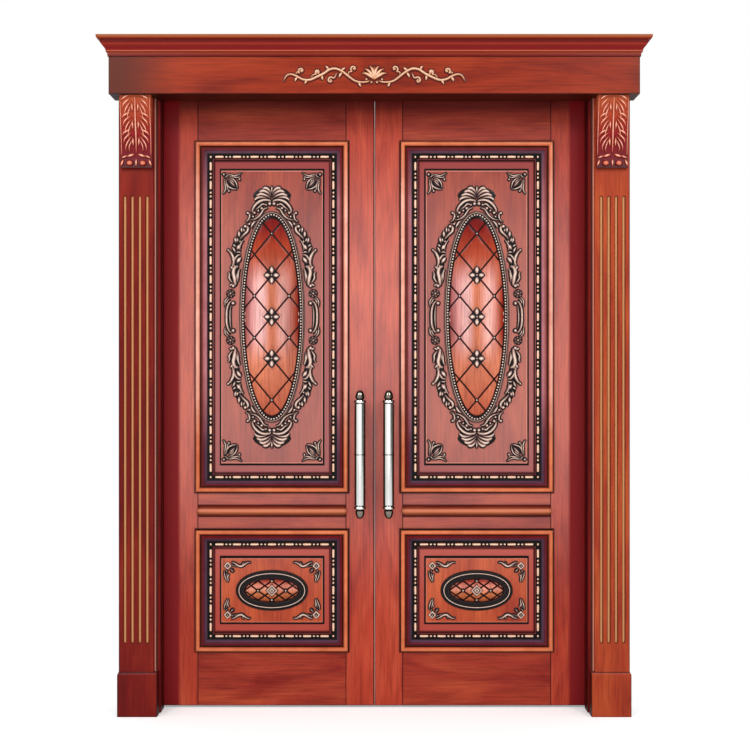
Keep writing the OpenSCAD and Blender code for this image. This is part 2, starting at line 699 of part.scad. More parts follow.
module front_moulding(left, z, h) color(wood_gold) hand(left) on_leaf(open_x, z, 0)
    mitred_loop(open_w + 2 * mould_lap, h + 2 * mould_lap, mould_w, -panel_sink - over,
        2 * crest_h) mould_section();

// The plainer moulding inside the openings on the back
module back_section() {
    r = panel_back();
    difference() {
        square([back_mould_w, r]);
        translate([back_mould_w, r]) circle(r * 0.8);
    }
}
function panel_back() = leaf_t - panel_sink - panel_t;

module back_mouldings(left) color(wood) hand(left) at_wall()
    for (q = [[up_z, up_h], [low_z, lower_open_h]])
        translate([open_x, jamb_d - panel_back(), q[0]]) rotate([-90, 0, 0])
            mitred_loop(open_w, q[1], back_mould_w, -over, panel_back() + over) back_section();

// Half of a bead-and-reel row of length l with n reels, turned about its own axis
module bead_row(l, n, ends) rotate([90, 0, 90]) rotate_extrude(angle = 180) intersection() {
    union() {
        trim = ends ? 0 : 2 * bead_r;
        translate([0, -l / 2 + trim]) square([bead_r / 2, l - 2 * trim]);
        for (i = [0 : n - 1]) translate([0, (i + 0.5) * l / n - l / 2]) reel_outline();
        for (i = [1 : n - 1], k = [-0.5, 0.5])
            translate([0, i * l / n - l / 2 + k * bead_step]) circle(bead_r, $fn = 24);
        if (ends) for (k = [-0.5, 0.5]) translate([0, k * l]) circle(bead_r, $fn = 24);
    }
    translate([0, -l]) square([2 * reel_r, 2 * l]);
}

// A reel is a cylinder whose shoulders slope in two steps
reel_share = [[0, -0.5], [0.5, -0.5], [0.85, -0.42], [1, -0.26], [1, 0.26], [0.85, 0.42],
    [0.5, 0.5], [0, 0.5]];
module reel_outline() polygon([for (q = reel_share) [q[0] * reel_r, q[1] * reel_l]]);

module bead_loop(w, h) {
    nw = round(w / reel_pitch);
    nh = round(h / reel_pitch);
    for (s = [-1, 1]) {
        translate([s * w / 2, 0, 0]) rotate(90) bead_row(h, nh, true);
        translate([0, s * h / 2, 0]) bead_row(w, nw, false);
    }
}

module beading(left) color(patina) hand(left) {
    in = 2 * roll_r + groove_w + cove_w + channel_w / 2 - mould_lap;
    for (q = [[up_z, up_h], [low_z, lower_open_h]])
        on_leaf(open_x, q[0], -channel_d) bead_loop(open_w - 2 * in, q[1] - 2 * in);
}

// A half-round with round ends on the mid rail
module rail_roll(left) color(wood_gold) hand(left) on_leaf(open_x, (low_z1 + up_z0) / 2, 0) {
    r = mid_rail_h / 9;
    l = open_w + mould_lap;
    rotate([90, 0, 90]) rotate_extrude(angle = 180) intersection() {
        union() {
            translate([0, -l / 2 + r]) square([r, l - 2 * r]);
            for (s = [-1, 1]) translate([0, s * (l / 2 - r)]) circle(r);
        }
        translate([0, -l / 2]) square([r, l]);
    }
}

// The pull handle: two tubes that meet in a ring, a collar and a finial at each end
module handle_bar(left) color(steel) hand(left) at_wall()
    translate([leaf_x0 + handle_x, reveal_d - handle_out, handle_z]) {
        ring = tube_r / 8;
        collar = tube_r / 2;
        rotate_extrude() {
            half = tube_l / 2;
            translate([0, -half]) square([tube_r, tube_l]);
            translate([0, -ring]) square([tube_r + ring, 2 * ring]);
            for (s = [0, 1]) mirror([0, s]) {
                translate([0, half]) square([tube_r * 0.75, ring]);
                translate([0, half + ring]) square([tube_r * 1.08, collar]);
                translate([0, half + ring + collar]) finial_outline();
            }
        }
    }

// An acorn: a neck, a round cup and a blunt tip
module finial_outline() {
    r = tube_r * 0.8;
    square([r * 0.8, finial_h / 8]);
    translate([0, finial_h / 8]) intersection() {
        translate([-finial_h, 0]) circle(finial_h + r);
        square([r, finial_h * 7 / 8]);
    }
}

// Posts from the leaf into the tube, each with a round rose on the leaf and a cap behind it
module handle_posts(left) color(steel) hand(left) at_wall()
    for (s = [-1, 1])
        translate([leaf_x0 + handle_x, reveal_d, handle_z + s * tube_l * 0.36])
            rotate([90, 0, 0]) {
                difference() {
                    cylinder(r = post_r, h = handle_out);
                    translate([0, -tube_r, handle_out]) rotate([-90, 0, 0])
                        cylinder(r = tube_r + clear, h = 2 * tube_r);
                }
                cylinder(r = post_r * 1.7, h = post_r / 2);
                translate([0, 0, -leaf_t - post_r / 3]) cylinder(r = post_r * 1.5, h = post_r / 3);
            }

// Hinges

function hinge_z(i) = leaf_z0 + pitch_z * (i + 0.5);
function hinge_plate_d() = leaf_t * 0.7;
function knuckle_l() = hinge_h / knuckles;

// One hinge half: a flush plate, with knuckles k0, k0 + 2 and so on of the barrel
module hinge_half(x, k0) difference() {
    union() {
        block([x, jamb_d - hinge_plate_d(), 0], [x + plate_t, jamb_d, hinge_h]);
        for (k = [k0 : 2 : knuckles - 1]) {
            z0 = k * knuckle_l() + knuckle_gap / 2;
            z1 = (k + 1) * knuckle_l() - knuckle_gap / 2;
            block([x, jamb_d - over, z0], [x + plate_t, pin_y, z1]);
            translate([pin_x, pin_y, z0]) cylinder(r = barrel_r, h = z1 - z0);
        }
    }
    translate([pin_x, pin_y, -over]) cylinder(r = pin_r + pin_fit, h = hinge_h + 2 * over);
}

module frame_hinges(left) color(steel) hand(left) at_wall()
    for (i = [0 : hinge_count - 1])
        translate([0, 0, hinge_z(i)]) hinge_half(leaf_x1 + leaf_gap, 0);

module leaf_hinges(left) color(steel) hand(left) at_wall()
    for (i = [0 : hinge_count - 1])
        translate([0, 0, hinge_z(i)]) hinge_half(leaf_x1 - plate_t, 1);

module hinge_pins() color(steel) both() at_wall()
    for (i = [0 : hinge_count - 1]) translate([pin_x, pin_y, hinge_z(i)]) {
        cylinder(r = pin_r, h = hinge_h);
        for (z = [-pin_r, hinge_h]) translate([0, 0, z]) cylinder(r = barrel_r, h = pin_r);
    }

// Corbel: an S-shaped bracket with an acanthus leaf on its front

// How far the corbel stands out at the share t of its height
function corbel_at(t) = corbel_d * (0.32 + 0.52 * t * t - 0.07 * sin(360 * t));

module corbel_body() {
    n = 8;
    translate([-corbel_w / 2, 0, 0]) rotate([90, 0, 90]) linear_extrude(corbel_w) polygon(concat(
        [[0, 0]], [for (i = [0 : n]) [-corbel_at(i / n), corbel_h * i / n]],
        [[0, corbel_h]]
    ));
}

// A lobe on the front of the corbel, from place a to place b, each a share of width and height
module lobe(a, b, r, lift) hull() for (q = [[a, 1, lift], [b, 0.45, lift * 0.6]])
    translate([q[0][0] * corbel_w, -corbel_at(q[0][1]) + corbel_d / 9, q[0][1] * corbel_h])
        rotate([90, 0, 0]) cylinder(r1 = r * q[1], r2 = r * q[1] * 0.35, h = corbel_d / 9 + q[2],
            $fn = 6);

module corbel(left) color(wood) hand(left) at_wall()
    translate([pilaster_x, -pilaster_d, frieze_z0 - corbel_h]) {
        corbel_body();
        for (t = [0.22 : 0.15 : 0.82])
            lobe([0, t + 0.13], [0, t], corbel_w * 0.07, corbel_d * 0.16);
        for (i = [0 : 4], s = [-1, 1]) {
            t = 0.2 + 0.15 * i;
            lobe([s * 0.13, t + 0.12], [s * 0.41, t], corbel_w * 0.09, corbel_d * 0.16);
        }
        lobe([-0.22, 0.17], [0.22, 0.17], corbel_w * 0.07, corbel_d * 0.2);
        for (s = [-1, 1]) {
            lobe([s * 0.23, 0.1], [s * 0.23, 0.06], corbel_w * 0.14, corbel_d * 0.14);
            lobe([s * 0.44, 0.1], [s * 0.44, 0.04], corbel_w * 0.06, corbel_d * 0.12);
        }
        lobe([0, 0.1], [0, 0.04], corbel_w * 0.06, corbel_d * 0.14);
    }

// Carving on the frieze: a lotus between two vines, places as shares of its half width
vine_share = [[0.05, -0.03], [0.12, -0.05], [0.2, -0.04], [0.27, 0.005], [0.344, 0.064],
    [0.42, 0.098], [0.5, 0.085], [0.6, 0.02], [0.7, -0.024], [0.79, -0.018], [0.87, 0.025],
    [0.93, 0.037], [1, -0.044]];
lotus_share = [[0.062, 0.137], [0.116, 0.101], [0.146, 0.049]];
curl_share = [[[0.37, 0.06], [0.4, -0.02], [0.46, -0.07], [0.52, -0.05], [0.51, 0], [0.47, 0]],
    [[0.28, 0.02], [0.3, 0.09], [0.25, 0.14], [0.19, 0.12], [0.19, 0.08], [0.23, 0.08]],
    [[0.89, 0.04], [0.87, 0.11], [0.81, 0.13], [0.76, 0.1], [0.78, 0.06]]];
vine_leaf_share = [[[0.56, 0.04], [0.67, 0.1]], [[0.56, 0.04], [0.62, 0.12]],
    [[0.44, 0.1], [0.34, 0.13]], [[0.68, -0.02], [0.74, 0.05]], [[0.2, -0.04], [0.12, 0.02]]];

module frieze_carving() color(wood_gold) at_wall()
    translate([0, -frieze_d, frieze_z0 + frieze_h * 0.42]) rotate([90, 0, 0]) {
        k = spray_hw;
        w = k * 0.034;
        for (s = [0, 1]) mirror([s, 0]) {
            stroke(vine_share * k, w, spray_h, 0.5);
            for (c = curl_share) stroke(c * k, w, spray_h, 0.6);
            for (q = lotus_share) petal([0, -0.02] * k, q * k, w * 1.2, spray_h);
            for (q = vine_leaf_share) petal(q[0] * k, q[1] * k, w * 1.1, spray_h * 0.8, 0.1);
            pearl([0.477, -0.022] * k, w * 0.5, spray_h);
            pearl([0.226, 0.09] * k, w * 0.5, spray_h);
        }
        petal([0, -0.02] * k, [0, 0.145] * k, w * 1.2, spray_h);
    }

jamb(true);  // jamb_left
jamb(false);  // jamb_right
head_jamb();
pilaster(true);  // pilaster_left
pilaster(false);  // pilaster_right
plinth(true);  // plinth_left
plinth(false);  // plinth_right
corbel(true);  // corbel_left
corbel(false);  // corbel_right
frieze_board();
crown_moulding();
frieze_carving();
rebate_seals();
frame_hinges(true);  // frame_hinges_left
frame_hinges(false);  // frame_hinges_right
hinge_pins();
hinge_stile(true);  // left_hinge_stile
lock_stile(true);  // left_lock_stile
rail(true, up_z1, leaf_z1);  // left_top_rail
rail(true, low_z1, up_z0);  // left_mid_rail
rail(true, leaf_z0, low_z0);  // left_bottom_rail
panel(true, up_z, open_w, up_h);  // left_upper_panel
panel(true, low_z, open_w, lower_open_h);  // left_lower_panel
front_moulding(true, up_z, up_h);  // left_upper_moulding
front_moulding(true, low_z, lower_open_h);  // left_lower_moulding
beading(true);  // left_beading
rail_roll(true);  // left_rail_roll
upper_dome(true);  // left_upper_dome
upper_ring(true);  // left_upper_ring
wreath(true);  // left_wreath
corners(true, up_z, field_w, field_up_h) corner_spray(corner_s, corner_shape[0], corner_shape[1]);  // left_upper_corners
lower_dome(true);  // left_lower_dome
lower_ring(true);  // left_lower_ring
corners(true, low_z, field_w, field_low_h) low_corner_spray(low_corner_s);  // left_lower_corners
handle_bar(true);  // left_handle_bar
handle_posts(true);  // left_handle_posts
leaf_hinges(true);  // left_leaf_hinges
back_mouldings(true);  // left_back_mouldings
hinge_stile(false);  // right_hinge_stile
lock_stile(false);  // right_lock_stile
rail(false, up_z1, leaf_z1);  // right_top_rail
rail(false, low_z1, up_z0);  // right_mid_rail
rail(false, leaf_z0, low_z0);  // right_bottom_rail
panel(false, up_z, open_w, up_h);  // right_upper_panel
panel(false, low_z, open_w, lower_open_h);  // right_lower_panel
front_moulding(false, up_z, up_h);  // right_upper_moulding
front_moulding(false, low_z, lower_open_h);  // right_lower_moulding
beading(false);  // right_beading
rail_roll(false);  // right_rail_roll
upper_dome(false);  // right_upper_dome
upper_ring(false);  // right_upper_ring
wreath(false);  // right_wreath
corners(false, up_z, field_w, field_up_h) corner_spray(corner_s, corner_shape[0], corner_shape[1]);  // right_upper_corners
lower_dome(false);  // right_lower_dome
lower_ring(false);  // right_lower_ring
corners(false, low_z, field_w, field_low_h) low_corner_spray(low_corner_s);  // right_lower_corners
handle_bar(false);  // right_handle_bar
handle_posts(false);  // right_handle_posts
leaf_hinges(false);  // right_leaf_hinges
back_mouldings(false);  // right_back_mouldings
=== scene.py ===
# %% [markdown]
# # A carved double door in its frame
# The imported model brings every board, rail, panel and hinge at its true size. This lesson
# dresses it: varnished wood on the joinery, and finely worked surfaces for the carving,
# the beads, the buttoned ovals and the handles, which stand in for the plainer solids.

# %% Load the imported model
import math

import bmesh
import bpy
import numpy as np
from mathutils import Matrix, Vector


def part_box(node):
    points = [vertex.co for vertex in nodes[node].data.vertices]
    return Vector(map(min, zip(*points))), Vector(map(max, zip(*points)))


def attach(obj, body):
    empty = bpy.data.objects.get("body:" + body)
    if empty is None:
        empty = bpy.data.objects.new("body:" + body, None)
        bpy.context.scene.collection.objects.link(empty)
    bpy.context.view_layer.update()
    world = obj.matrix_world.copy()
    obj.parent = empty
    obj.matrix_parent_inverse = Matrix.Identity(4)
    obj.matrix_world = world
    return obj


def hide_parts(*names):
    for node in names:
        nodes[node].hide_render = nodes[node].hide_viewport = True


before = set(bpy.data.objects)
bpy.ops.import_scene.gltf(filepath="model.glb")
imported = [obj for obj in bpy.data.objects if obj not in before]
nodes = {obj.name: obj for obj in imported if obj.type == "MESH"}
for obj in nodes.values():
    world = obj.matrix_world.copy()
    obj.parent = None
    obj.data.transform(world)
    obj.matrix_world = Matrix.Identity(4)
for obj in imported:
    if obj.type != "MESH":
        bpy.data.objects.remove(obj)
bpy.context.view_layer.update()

# %% [markdown]
# The leaves are boards set edge to edge, so their boxes say where each face, opening and
# moulding lies. Reading them here keeps every later piece in step with the model.

# %% Measure the leaf
lock_low, lock_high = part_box("right_lock_stile")
stile_low, stile_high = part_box("right_hinge_stile")
mid_low, mid_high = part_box("right_mid_rail")
top_low, top_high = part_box("right_top_rail")
bottom_low, bottom_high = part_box("right_bottom_rail")
pilaster_low, pilaster_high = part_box("pilaster_right")
frieze_low, frieze_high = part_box("frieze_board")
roll_low, roll_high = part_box("right_rail_roll")

FACE_Y = lock_low.y
OPEN_X0, OPEN_X1 = lock_high.x, stile_low.x
OPEN_X = (OPEN_X0 + OPEN_X1) / 2
OPEN_W = OPEN_X1 - OPEN_X0
UP_Z = (mid_high.z + top_low.z) / 2
UP_H = top_low.z - mid_high.z
LOW_Z = (bottom_high.z + mid_low.z) / 2
LOW_H = mid_low.z - bottom_high.z
print("opening of a leaf:", round(OPEN_W, 3), "by", round(UP_H, 3), "and", round(LOW_H, 3))

# %% Sizes of the carved work, in metres
MM = 0.001
SIDES = {"left": -1, "right": 1}
MOULD_LAP = 8 * MM
FIELD_V = -2 * MM
CHANNEL_V = -4 * MM
BEAD_LINE = 52 * MM
REEL_PITCH = 65 * MM
DOME_A, DOME_B, DOME_H = 95 * MM, 348 * MM, 17 * MM
QUILT_X, QUILT_Z, QUILT_D = 60 * MM, 72 * MM, 5 * MM
RING_W = 19 * MM
WREATH = 457 * MM
WREATH_H = 11 * MM
LOW_A, LOW_B, LOW_H_DOME = 95.8 * MM, 41 * MM, 11 * MM
LOW_RING = 29 * MM
FIELD_W = OPEN_W + 2 * MOULD_LAP - 174 * MM
FIELD_UP_H = UP_H + 2 * MOULD_LAP - 196 * MM
FIELD_LOW_H = LOW_H + 2 * MOULD_LAP - 196 * MM

# %% [markdown]
# ## Meshes from arrays
# Each shape below is a grid of points worked out in one go. A grid becomes faces by
# joining each point to its neighbours, and several grids are stacked into one piece.
# A value called tone goes with every point: 0 in the hollows, 1 on the ridges, which are
# rubbed pale and carry a painted highlight.


# %% Grids, stacks and pieces
def grid_faces(rows, cols, wrap_rows=False, wrap_cols=False):
    """Quads between neighbouring points of a rows by cols grid, closed round if asked."""
    i = np.arange(rows if wrap_rows else rows - 1)
    j = np.arange(cols if wrap_cols else cols - 1)
    i, j = np.meshgrid(i, j, indexing="ij")
    i2, j2 = (i + 1) % rows, (j + 1) % cols
    quads = np.stack([i * cols + j, i2 * cols + j, i2 * cols + j2, i * cols + j2], -1)
    return quads.reshape(-1, 4)


def stack(parts):
    """Joins (points, faces, tone) triples: each part's faces are shifted by the points before."""
    points, faces, tones, start = [], [], [], 0
    for p, f, t in parts:
        points.append(p)
        faces += [[int(k) + start for k in row] for row in f]
        tones.append(t)
        start += len(p)
    return np.concatenate(points), faces, np.concatenate(tones)


def piece(name, part, body, material, replaced=(), smooth_deg=35, mirror=False):
    """Puts a stack into a mesh, turns its faces outwards, and hands it to its body."""
    points, faces, tones = part
    points = np.array(points, float)
    if mirror:
        points[:, 0] *= -1
    mesh = bpy.data.meshes.new(name)
    mesh.from_pydata(points.tolist(), [], [list(f) for f in faces])
    mesh.update()
    attribute = mesh.attributes.new("tone", "FLOAT", "POINT")
    attribute.data.foreach_set("value", np.asarray(tones, np.float32))
    work = bmesh.new()
    work.from_mesh(mesh)
    bmesh.ops.recalc_face_normals(work, faces=work.faces)
    work.to_mesh(mesh)
    work.free()
    mesh.polygons.foreach_set("use_smooth", np.ones(len(mesh.polygons), bool))
    mesh.set_sharp_from_angle(angle=math.radians(smooth_deg))
    mesh.materials.append(material)
    made = bpy.data.objects.new(name, mesh)
    bpy.context.scene.collection.objects.link(made)
    if replaced:
        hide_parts(*replaced)
    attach(made, body)
    print(name, len(mesh.polygons), "faces")
    return made


# %% [markdown]
# Carving is drawn flat, as x to the side, z upwards and h towards the viewer, and then
# stood on a face of the door. The viewer is on the minus Y side.


# %% Stand flat work on a face
def stand(part, x, z, y):
    """Carries flat points (x, z, h) to a vertical face at depth y, h coming forward."""
    p, f, t = part
    return np.stack([x + p[:, 0], y - p[:, 2], z + p[:, 1]], -1), f, t


def flip(part, x=False, z=False):
    """Mirrors a flat part left to right or top to bottom."""
    p, f, t = part
    q = p.copy()
    q[:, 0] *= -1 if x else 1
    q[:, 1] *= -1 if z else 1
    return q, f, t


def on_leaf(side, name, flat, z, material, node=None):
    """Stands flat work on a leaf's panel at height z, where it replaces one node of that
    leaf. Work is drawn for the right leaf, and the left one gets its mirror image."""
    return piece(f"{side}_{name}", stand(flat, OPEN_X, z, FACE_Y - FIELD_V), f"{side}_leaf",
                 material, [f"{side}_{node}"] if node else (), mirror=side == "left")


# %% [markdown]
# ## Strokes, leaves and knobs
# A carver cuts scrolls with a gouge: a rounded ridge that starts slim, swells and ends in
# a curl. So a stroke is a section carried along a smooth line. The line runs through a few
# given points, the section is a rounded ridge with a thin skirt that meets the ground.


# %% A smooth line through a few points
def smooth_line(points, per=9):
    """Catmull-Rom curve: each stretch is the cubic that leaves and meets its neighbours."""
    p = np.asarray(points, float)
    p = np.concatenate([[2 * p[0] - p[1]], p, [2 * p[-1] - p[-2]]])
    t = np.linspace(0, 1, per, endpoint=False)[:, None]
    runs = []
    for a, b, c, d in zip(p[:-3], p[1:-2], p[2:-1], p[3:]):
        runs.append(0.5 * (2 * b + (c - a) * t + (2 * a - 5 * b + 4 * c - d) * t ** 2
                           + (3 * b - a - 3 * c + d) * t ** 3))
    return np.concatenate(runs + [p[-2:-1]])


def sideways(line):
    """Unit vectors across a flat line, from the slope between neighbouring points."""
    d = np.gradient(line, axis=0)
    d /= np.maximum(np.linalg.norm(d, axis=1, keepdims=True), 1e-9)
    return np.stack([-d[:, 1], d[:, 0]], -1)


# The skirt's tone is 0, so it is painted dark: partly patina, partly painted shade round each stroke.
SKIRT = 3.2 * MM


def ribbon(points, width, height, full=0.5, start=0.35, end=0.2, veins=0, per=9, across=9):
    """A carved stroke: at each place t along the line the section runs over s from -1 to 1,
    its height is the swell times (1 - s^2)^0.7, cut by shallow veins, and its foot is flat."""
    line = smooth_line(points, per)
    n = len(line)
    t = np.linspace(0, 1, n)
    swell = np.where(t < full, start + (1 - start) * np.sin(t / full * np.pi / 2),
                     end + (1 - end) * np.cos((t - full) / (1 - full) * np.pi / 2))
    swell *= np.minimum(1, np.minimum(t * 22 + 0.15, (1 - t) * 22 + 0.15))
    s = np.sin(np.linspace(-1, 1, across) * np.pi / 2)
    ridge = np.maximum(0, 1 - s ** 2) ** 0.7
    if veins:
        ridge = ridge * (0.72 + 0.28 * np.cos(2 * np.pi * veins * s))
    half = width / 2 * swell
    n_hat = sideways(line)
    x = line[:, None, :] + n_hat[:, None, :] * (half[:, None] * s[None, :])[..., None]
    h = height * (0.35 + 0.65 * swell)[:, None] * ridge[None, :] + 0.4 * MM
    tone = ridge[None, :] * (0.55 + 0.45 * swell)[:, None]
    left = line - n_hat * (half + SKIRT)[:, None]
    right = line + n_hat * (half + SKIRT)[:, None]
    flat = np.zeros((n, 1))
    xy = np.concatenate([left[:, None], x, right[:, None]], 1)
    hh = np.concatenate([flat, h, flat], 1)
    tt = np.concatenate([flat, tone, flat], 1)
    k = across + 2
    pts = np.concatenate([xy, hh[..., None]], -1).reshape(-1, 3)
    faces = grid_faces(n, k, wrap_cols=True).tolist()
    faces += [list(range(k)), list(range((n - 1) * k, n * k))]
    return pts, faces, tt.reshape(-1)


def leaf(a, b, width, height, bow=0.0, veins=1.5):
    """A leaf from a to b: a ribbon whose line bows sideways, with veins along it."""
    a, b = np.asarray(a, float), np.asarray(b, float)
    d = b - a
    side = np.array([-d[1], d[0]])
    pts = [a, a + 0.35 * d + side * bow * 0.8, a + 0.7 * d + side * bow, b]
    return ribbon(pts, width, height, full=0.45, start=0.25, end=0.05, veins=veins, per=8,
                  across=11)


def knob(centre, radius, height, around=14, rings=5):
    """A round knob: height times the square root of 1 - r^2, on a thin skirt."""
    a = np.linspace(0, 2 * np.pi, around, endpoint=False)
    r = np.concatenate([[1 + SKIRT / radius], np.cos(np.linspace(0, np.pi / 2, rings)[:-1]), [0.03]])
    h = np.concatenate([[0], 0.4 * MM + height * np.sqrt(np.maximum(0, 1 - r[1:] ** 2))])
    tone = np.concatenate([[0], np.sqrt(np.maximum(0, 1 - r[1:] ** 2))])
    x = centre[0] + radius * r[:, None] * np.cos(a)
    z = centre[1] + radius * r[:, None] * np.sin(a)
    pts = np.stack([x, z, np.repeat(h[:, None], around, 1)], -1).reshape(-1, 3)
    faces = grid_faces(len(r), around, wrap_cols=True).tolist()
    faces += [list(range(around)), list(range((len(r) - 1) * around, len(r) * around))]
    return pts, faces, np.repeat(tone, around)


def curl(centre, radius, turns, begin, tail=(), per_turn=10):
    """Points of a spiral that winds in to a small eye; the angle grows as the radius falls."""
    n = max(5, int(abs(turns) * per_turn))
    a = begin + 2 * np.pi * turns * np.linspace(0, 1, n)
    r = radius * np.linspace(1, 0.25, n)
    spiral = np.stack([centre[0] + r * np.cos(a), centre[1] + r * np.sin(a)], -1)
    return np.concatenate([np.asarray(tail, float).reshape(-1, 2), spiral])


print("a stroke of four points has", len(ribbon([[0, 0], [1, 0], [2, 1], [3, 1]], 1, 1)[0]), "points")

# %% [markdown]
# ## Finishes
# The wood is a red tropical timber under a semi-gloss varnish. Its colour drifts between
# orange and purple in broad clouds, and fine dark pores run along the grain. Noise that is
# stretched along the grain gives both. The carving carries a dark patina that was rubbed
# off the ridges, and a painted highlight on them, so its colour follows the tone value of each
# point. Painted shade and a painted sheen also go into some of the wood's colours below.


# %% Colours and small node helpers
WHITE, BLACK = (255, 255, 255), (0, 0, 0)


def linear(rgb):
    """A screen colour, 0 to 255, as the linear values that shaders expect."""
    c = np.asarray(rgb, float) / 255
    out = np.where(c <= 0.04045, c / 12.92, ((c + 0.055) / 1.055) ** 2.4)
    return (*[float(v) for v in out], 1.0)


class Finish:
    """A material with short calls for adding nodes and wiring them."""

    def __init__(self, name):
        self.material = bpy.data.materials.new(name)
        self.material.use_nodes = True
        self.tree = self.material.node_tree
        self.shader = self.tree.nodes["Principled BSDF"]

    def add(self, kind, **values):
        made = self.tree.nodes.new(kind)
        for key, value in values.items():
            if key in made.inputs.keys():
                made.inputs[key].default_value = value
            else:
                setattr(made, key, value)
        return made

    def join(self, source, target):
        self.tree.links.new(source, target)
        return source

    def set(self, **values):
        for key, value in values.items():
            self.shader.inputs[key.replace("_", " ")].default_value = value

    def spot(self, output="Object"):
        """The x, y and z of a coordinate, as three sockets."""
        split = self.add("ShaderNodeSeparateXYZ")
        self.join(self.add("ShaderNodeTexCoord").outputs[output], split.inputs[0])
        return split.outputs

    def tone(self):
        return self.add("ShaderNodeAttribute", attribute_name="tone").outputs["Fac"]

    def paint(self, colour):
        self.join(colour, self.shader.inputs["Base Color"])

    def noise(self, scale, detail=3.0, roughness=0.5, distortion=0.0):
        made = self.add("ShaderNodeTexNoise", Scale=1.0, Detail=detail, Roughness=roughness,
                        Distortion=distortion)
        mapping = self.add("ShaderNodeMapping", Scale=scale)
        self.join(self.add("ShaderNodeTexCoord").outputs["Object"], mapping.inputs["Vector"])
        self.join(mapping.outputs["Vector"], made.inputs["Vector"])
        return made.outputs["Fac"]

    def ramp(self, value, stops, screen=True):
        """Colours by place; the stops hold screen colours, or linear ones if screen is off."""
        made = self.add("ShaderNodeValToRGB")
        while len(made.color_ramp.elements) < len(stops):
            made.color_ramp.elements.new(0.5)
        for element, (place, colour) in zip(made.color_ramp.elements, stops):
            element.position = place
            element.color = linear(colour) if screen else colour
        self.join(value, made.inputs["Fac"])
        return made.outputs["Color"]

    def mix(self, factor, a, b, blend="MIX"):
        made = self.add("ShaderNodeMix", data_type="RGBA", blend_type=blend)
        for source, socket in ((factor, made.inputs[0]), (a, made.inputs[6]), (b, made.inputs[7])):
            if isinstance(source, bpy.types.NodeSocket):
                self.join(source, socket)
            else:
                socket.default_value = source
        return made.outputs[2]

    def math(self, operation, a, b=0.0, c=0.0):
        made = self.add("ShaderNodeMath", operation=operation)
        for source, socket in zip((a, b, c), made.inputs):
            if isinstance(source, bpy.types.NodeSocket):
                self.join(source, socket)
            else:
                socket.default_value = source
        return made.outputs[0]

    def apart(self, a, b):
        """How far two values lie apart."""
        return self.math("ABSOLUTE", self.math("SUBTRACT", a, b))

    def ease(self, value, start, end):
        """0 before start and 1 past end, with a soft step between them."""
        made = self.add("ShaderNodeMapRange", interpolation_type="SMOOTHSTEP")
        made.inputs["From Min"].default_value = min(start, end)
        made.inputs["From Max"].default_value = max(start, end)
        made.inputs["To Min"].default_value = float(start > end)
        made.inputs["To Max"].default_value = float(start <= end)
        self.join(value, made.inputs["Value"])
        return made.outputs["Result"]

    def bump(self, height, distance, strength=1.0):
        made = self.add("ShaderNodeBump", Distance=distance, Strength=strength)
        self.join(height, made.inputs["Height"])
        self.join(made.outputs["Normal"], self.shader.inputs["Normal"])


# Heights and reaches of the painted sheen, of the painted shade beside the jambs and under the head, and of
# the painted highlight round the fields.
PALE_Z, PALE_NEAR, PALE_FAR = 1.2, 0.2, 0.95
MOULD_PALE_Z, MOULD_PALE = 1.42, (0.56, 0.26)
SIDE_SHADE, HEAD_SHADE = (0.668, 0.682), (2.035, 2.09)
RIM_FADE, RIM_RISE = (1.96, 1.9), (0.6, 0.95)
BAND_REACH, BAND_SQUEEZE = 40 * MM, 25 / 36
LINE_REACH = 10 * MM
GRAIN_ACROSS, GRAIN_ALONG = 230, 7
CLOUD_ACROSS, CLOUD_ALONG = 9, 2.2


def grain_scale(axis, across, along):
    """Noise scale per axis: coarse along the grain, fine across it."""
    return tuple(along if "xyz".index(axis) == k else across for k in range(3))


def wood_colour(finish, axis, dark, mid, light):
    """Broad clouds between three tones, darkened by fine pores that run along the grain."""
    cloud = finish.noise(grain_scale(axis, CLOUD_ACROSS, CLOUD_ALONG), 4.0, 0.6, 0.6)
    base = finish.ramp(cloud, [(0.32, dark), (0.5, mid), (0.68, light)])
    pores = finish.noise(grain_scale(axis, GRAIN_ACROSS, GRAIN_ALONG), 3.0, 0.65)
    streak = finish.ramp(pores, [(0.3, (150, 140, 140)), (0.55, WHITE)])
    return finish.mix(0.55, base, streak, "MULTIPLY"), pores


def varnish(finish, roughness=0.34):
    """A satin varnish: a weak dielectric gloss."""
    finish.set(Roughness=roughness)
    finish.shader.inputs["Specular IOR Level"].default_value = 0.14


# %% [markdown]
# Where two boards meet, a hair line shows, and dirt and dark varnish gather along it. Each
# board's own box says how far a point is from the board's edge, so one finish per board
# draws the line with no extra geometry.


# %% Board finish
def edge_distance(finish, node):
    """How far a point lies inside the board's outline, seen from the front."""
    low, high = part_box(node)
    spot = finish.spot()
    near = None
    for out, a, b in ((spot[0], low.x, high.x), (spot[2], low.z, high.z)):
        away = finish.apart(out, (a + b) / 2)
        gap = finish.math("SUBTRACT", (b - a) / 2, away)
        near = gap if near is None else finish.math("MINIMUM", near, gap)
    return near


def front_place(finish):
    """How far out from the middle of the doorway a point is, and how high."""
    spot = finish.spot()
    return finish.math("ABSOLUTE", spot[0]), spot[2]


def outside(finish, across, up, z, half_w, half_h, squeeze=1.0):
    """Distance past the sides of a rectangle that is centred on the panels at height z.
    Above and below it, the distance is multiplied by squeeze."""
    past_x = finish.math("SUBTRACT", finish.apart(across, OPEN_X), half_w)
    past_z = finish.math("SUBTRACT", finish.apart(up, z), half_h)
    past_z = finish.math("MINIMUM", past_z, finish.math("MULTIPLY", past_z, squeeze))
    return finish.math("MAXIMUM", past_x, past_z)


def painted_sheen_middle(finish, colour, up):
    """A painted sheen: at half height the colour is made paler, standing in for the varnish giving back the
    light of the room.
    """
    middle = finish.ease(finish.apart(up, PALE_Z),
                         PALE_FAR, PALE_NEAR)
    pale = finish.mix(middle, (0, 0, 0, 1), (0.12, 0.105, 0.1, 1))
    return finish.mix(1.0, colour, pale, "ADD")


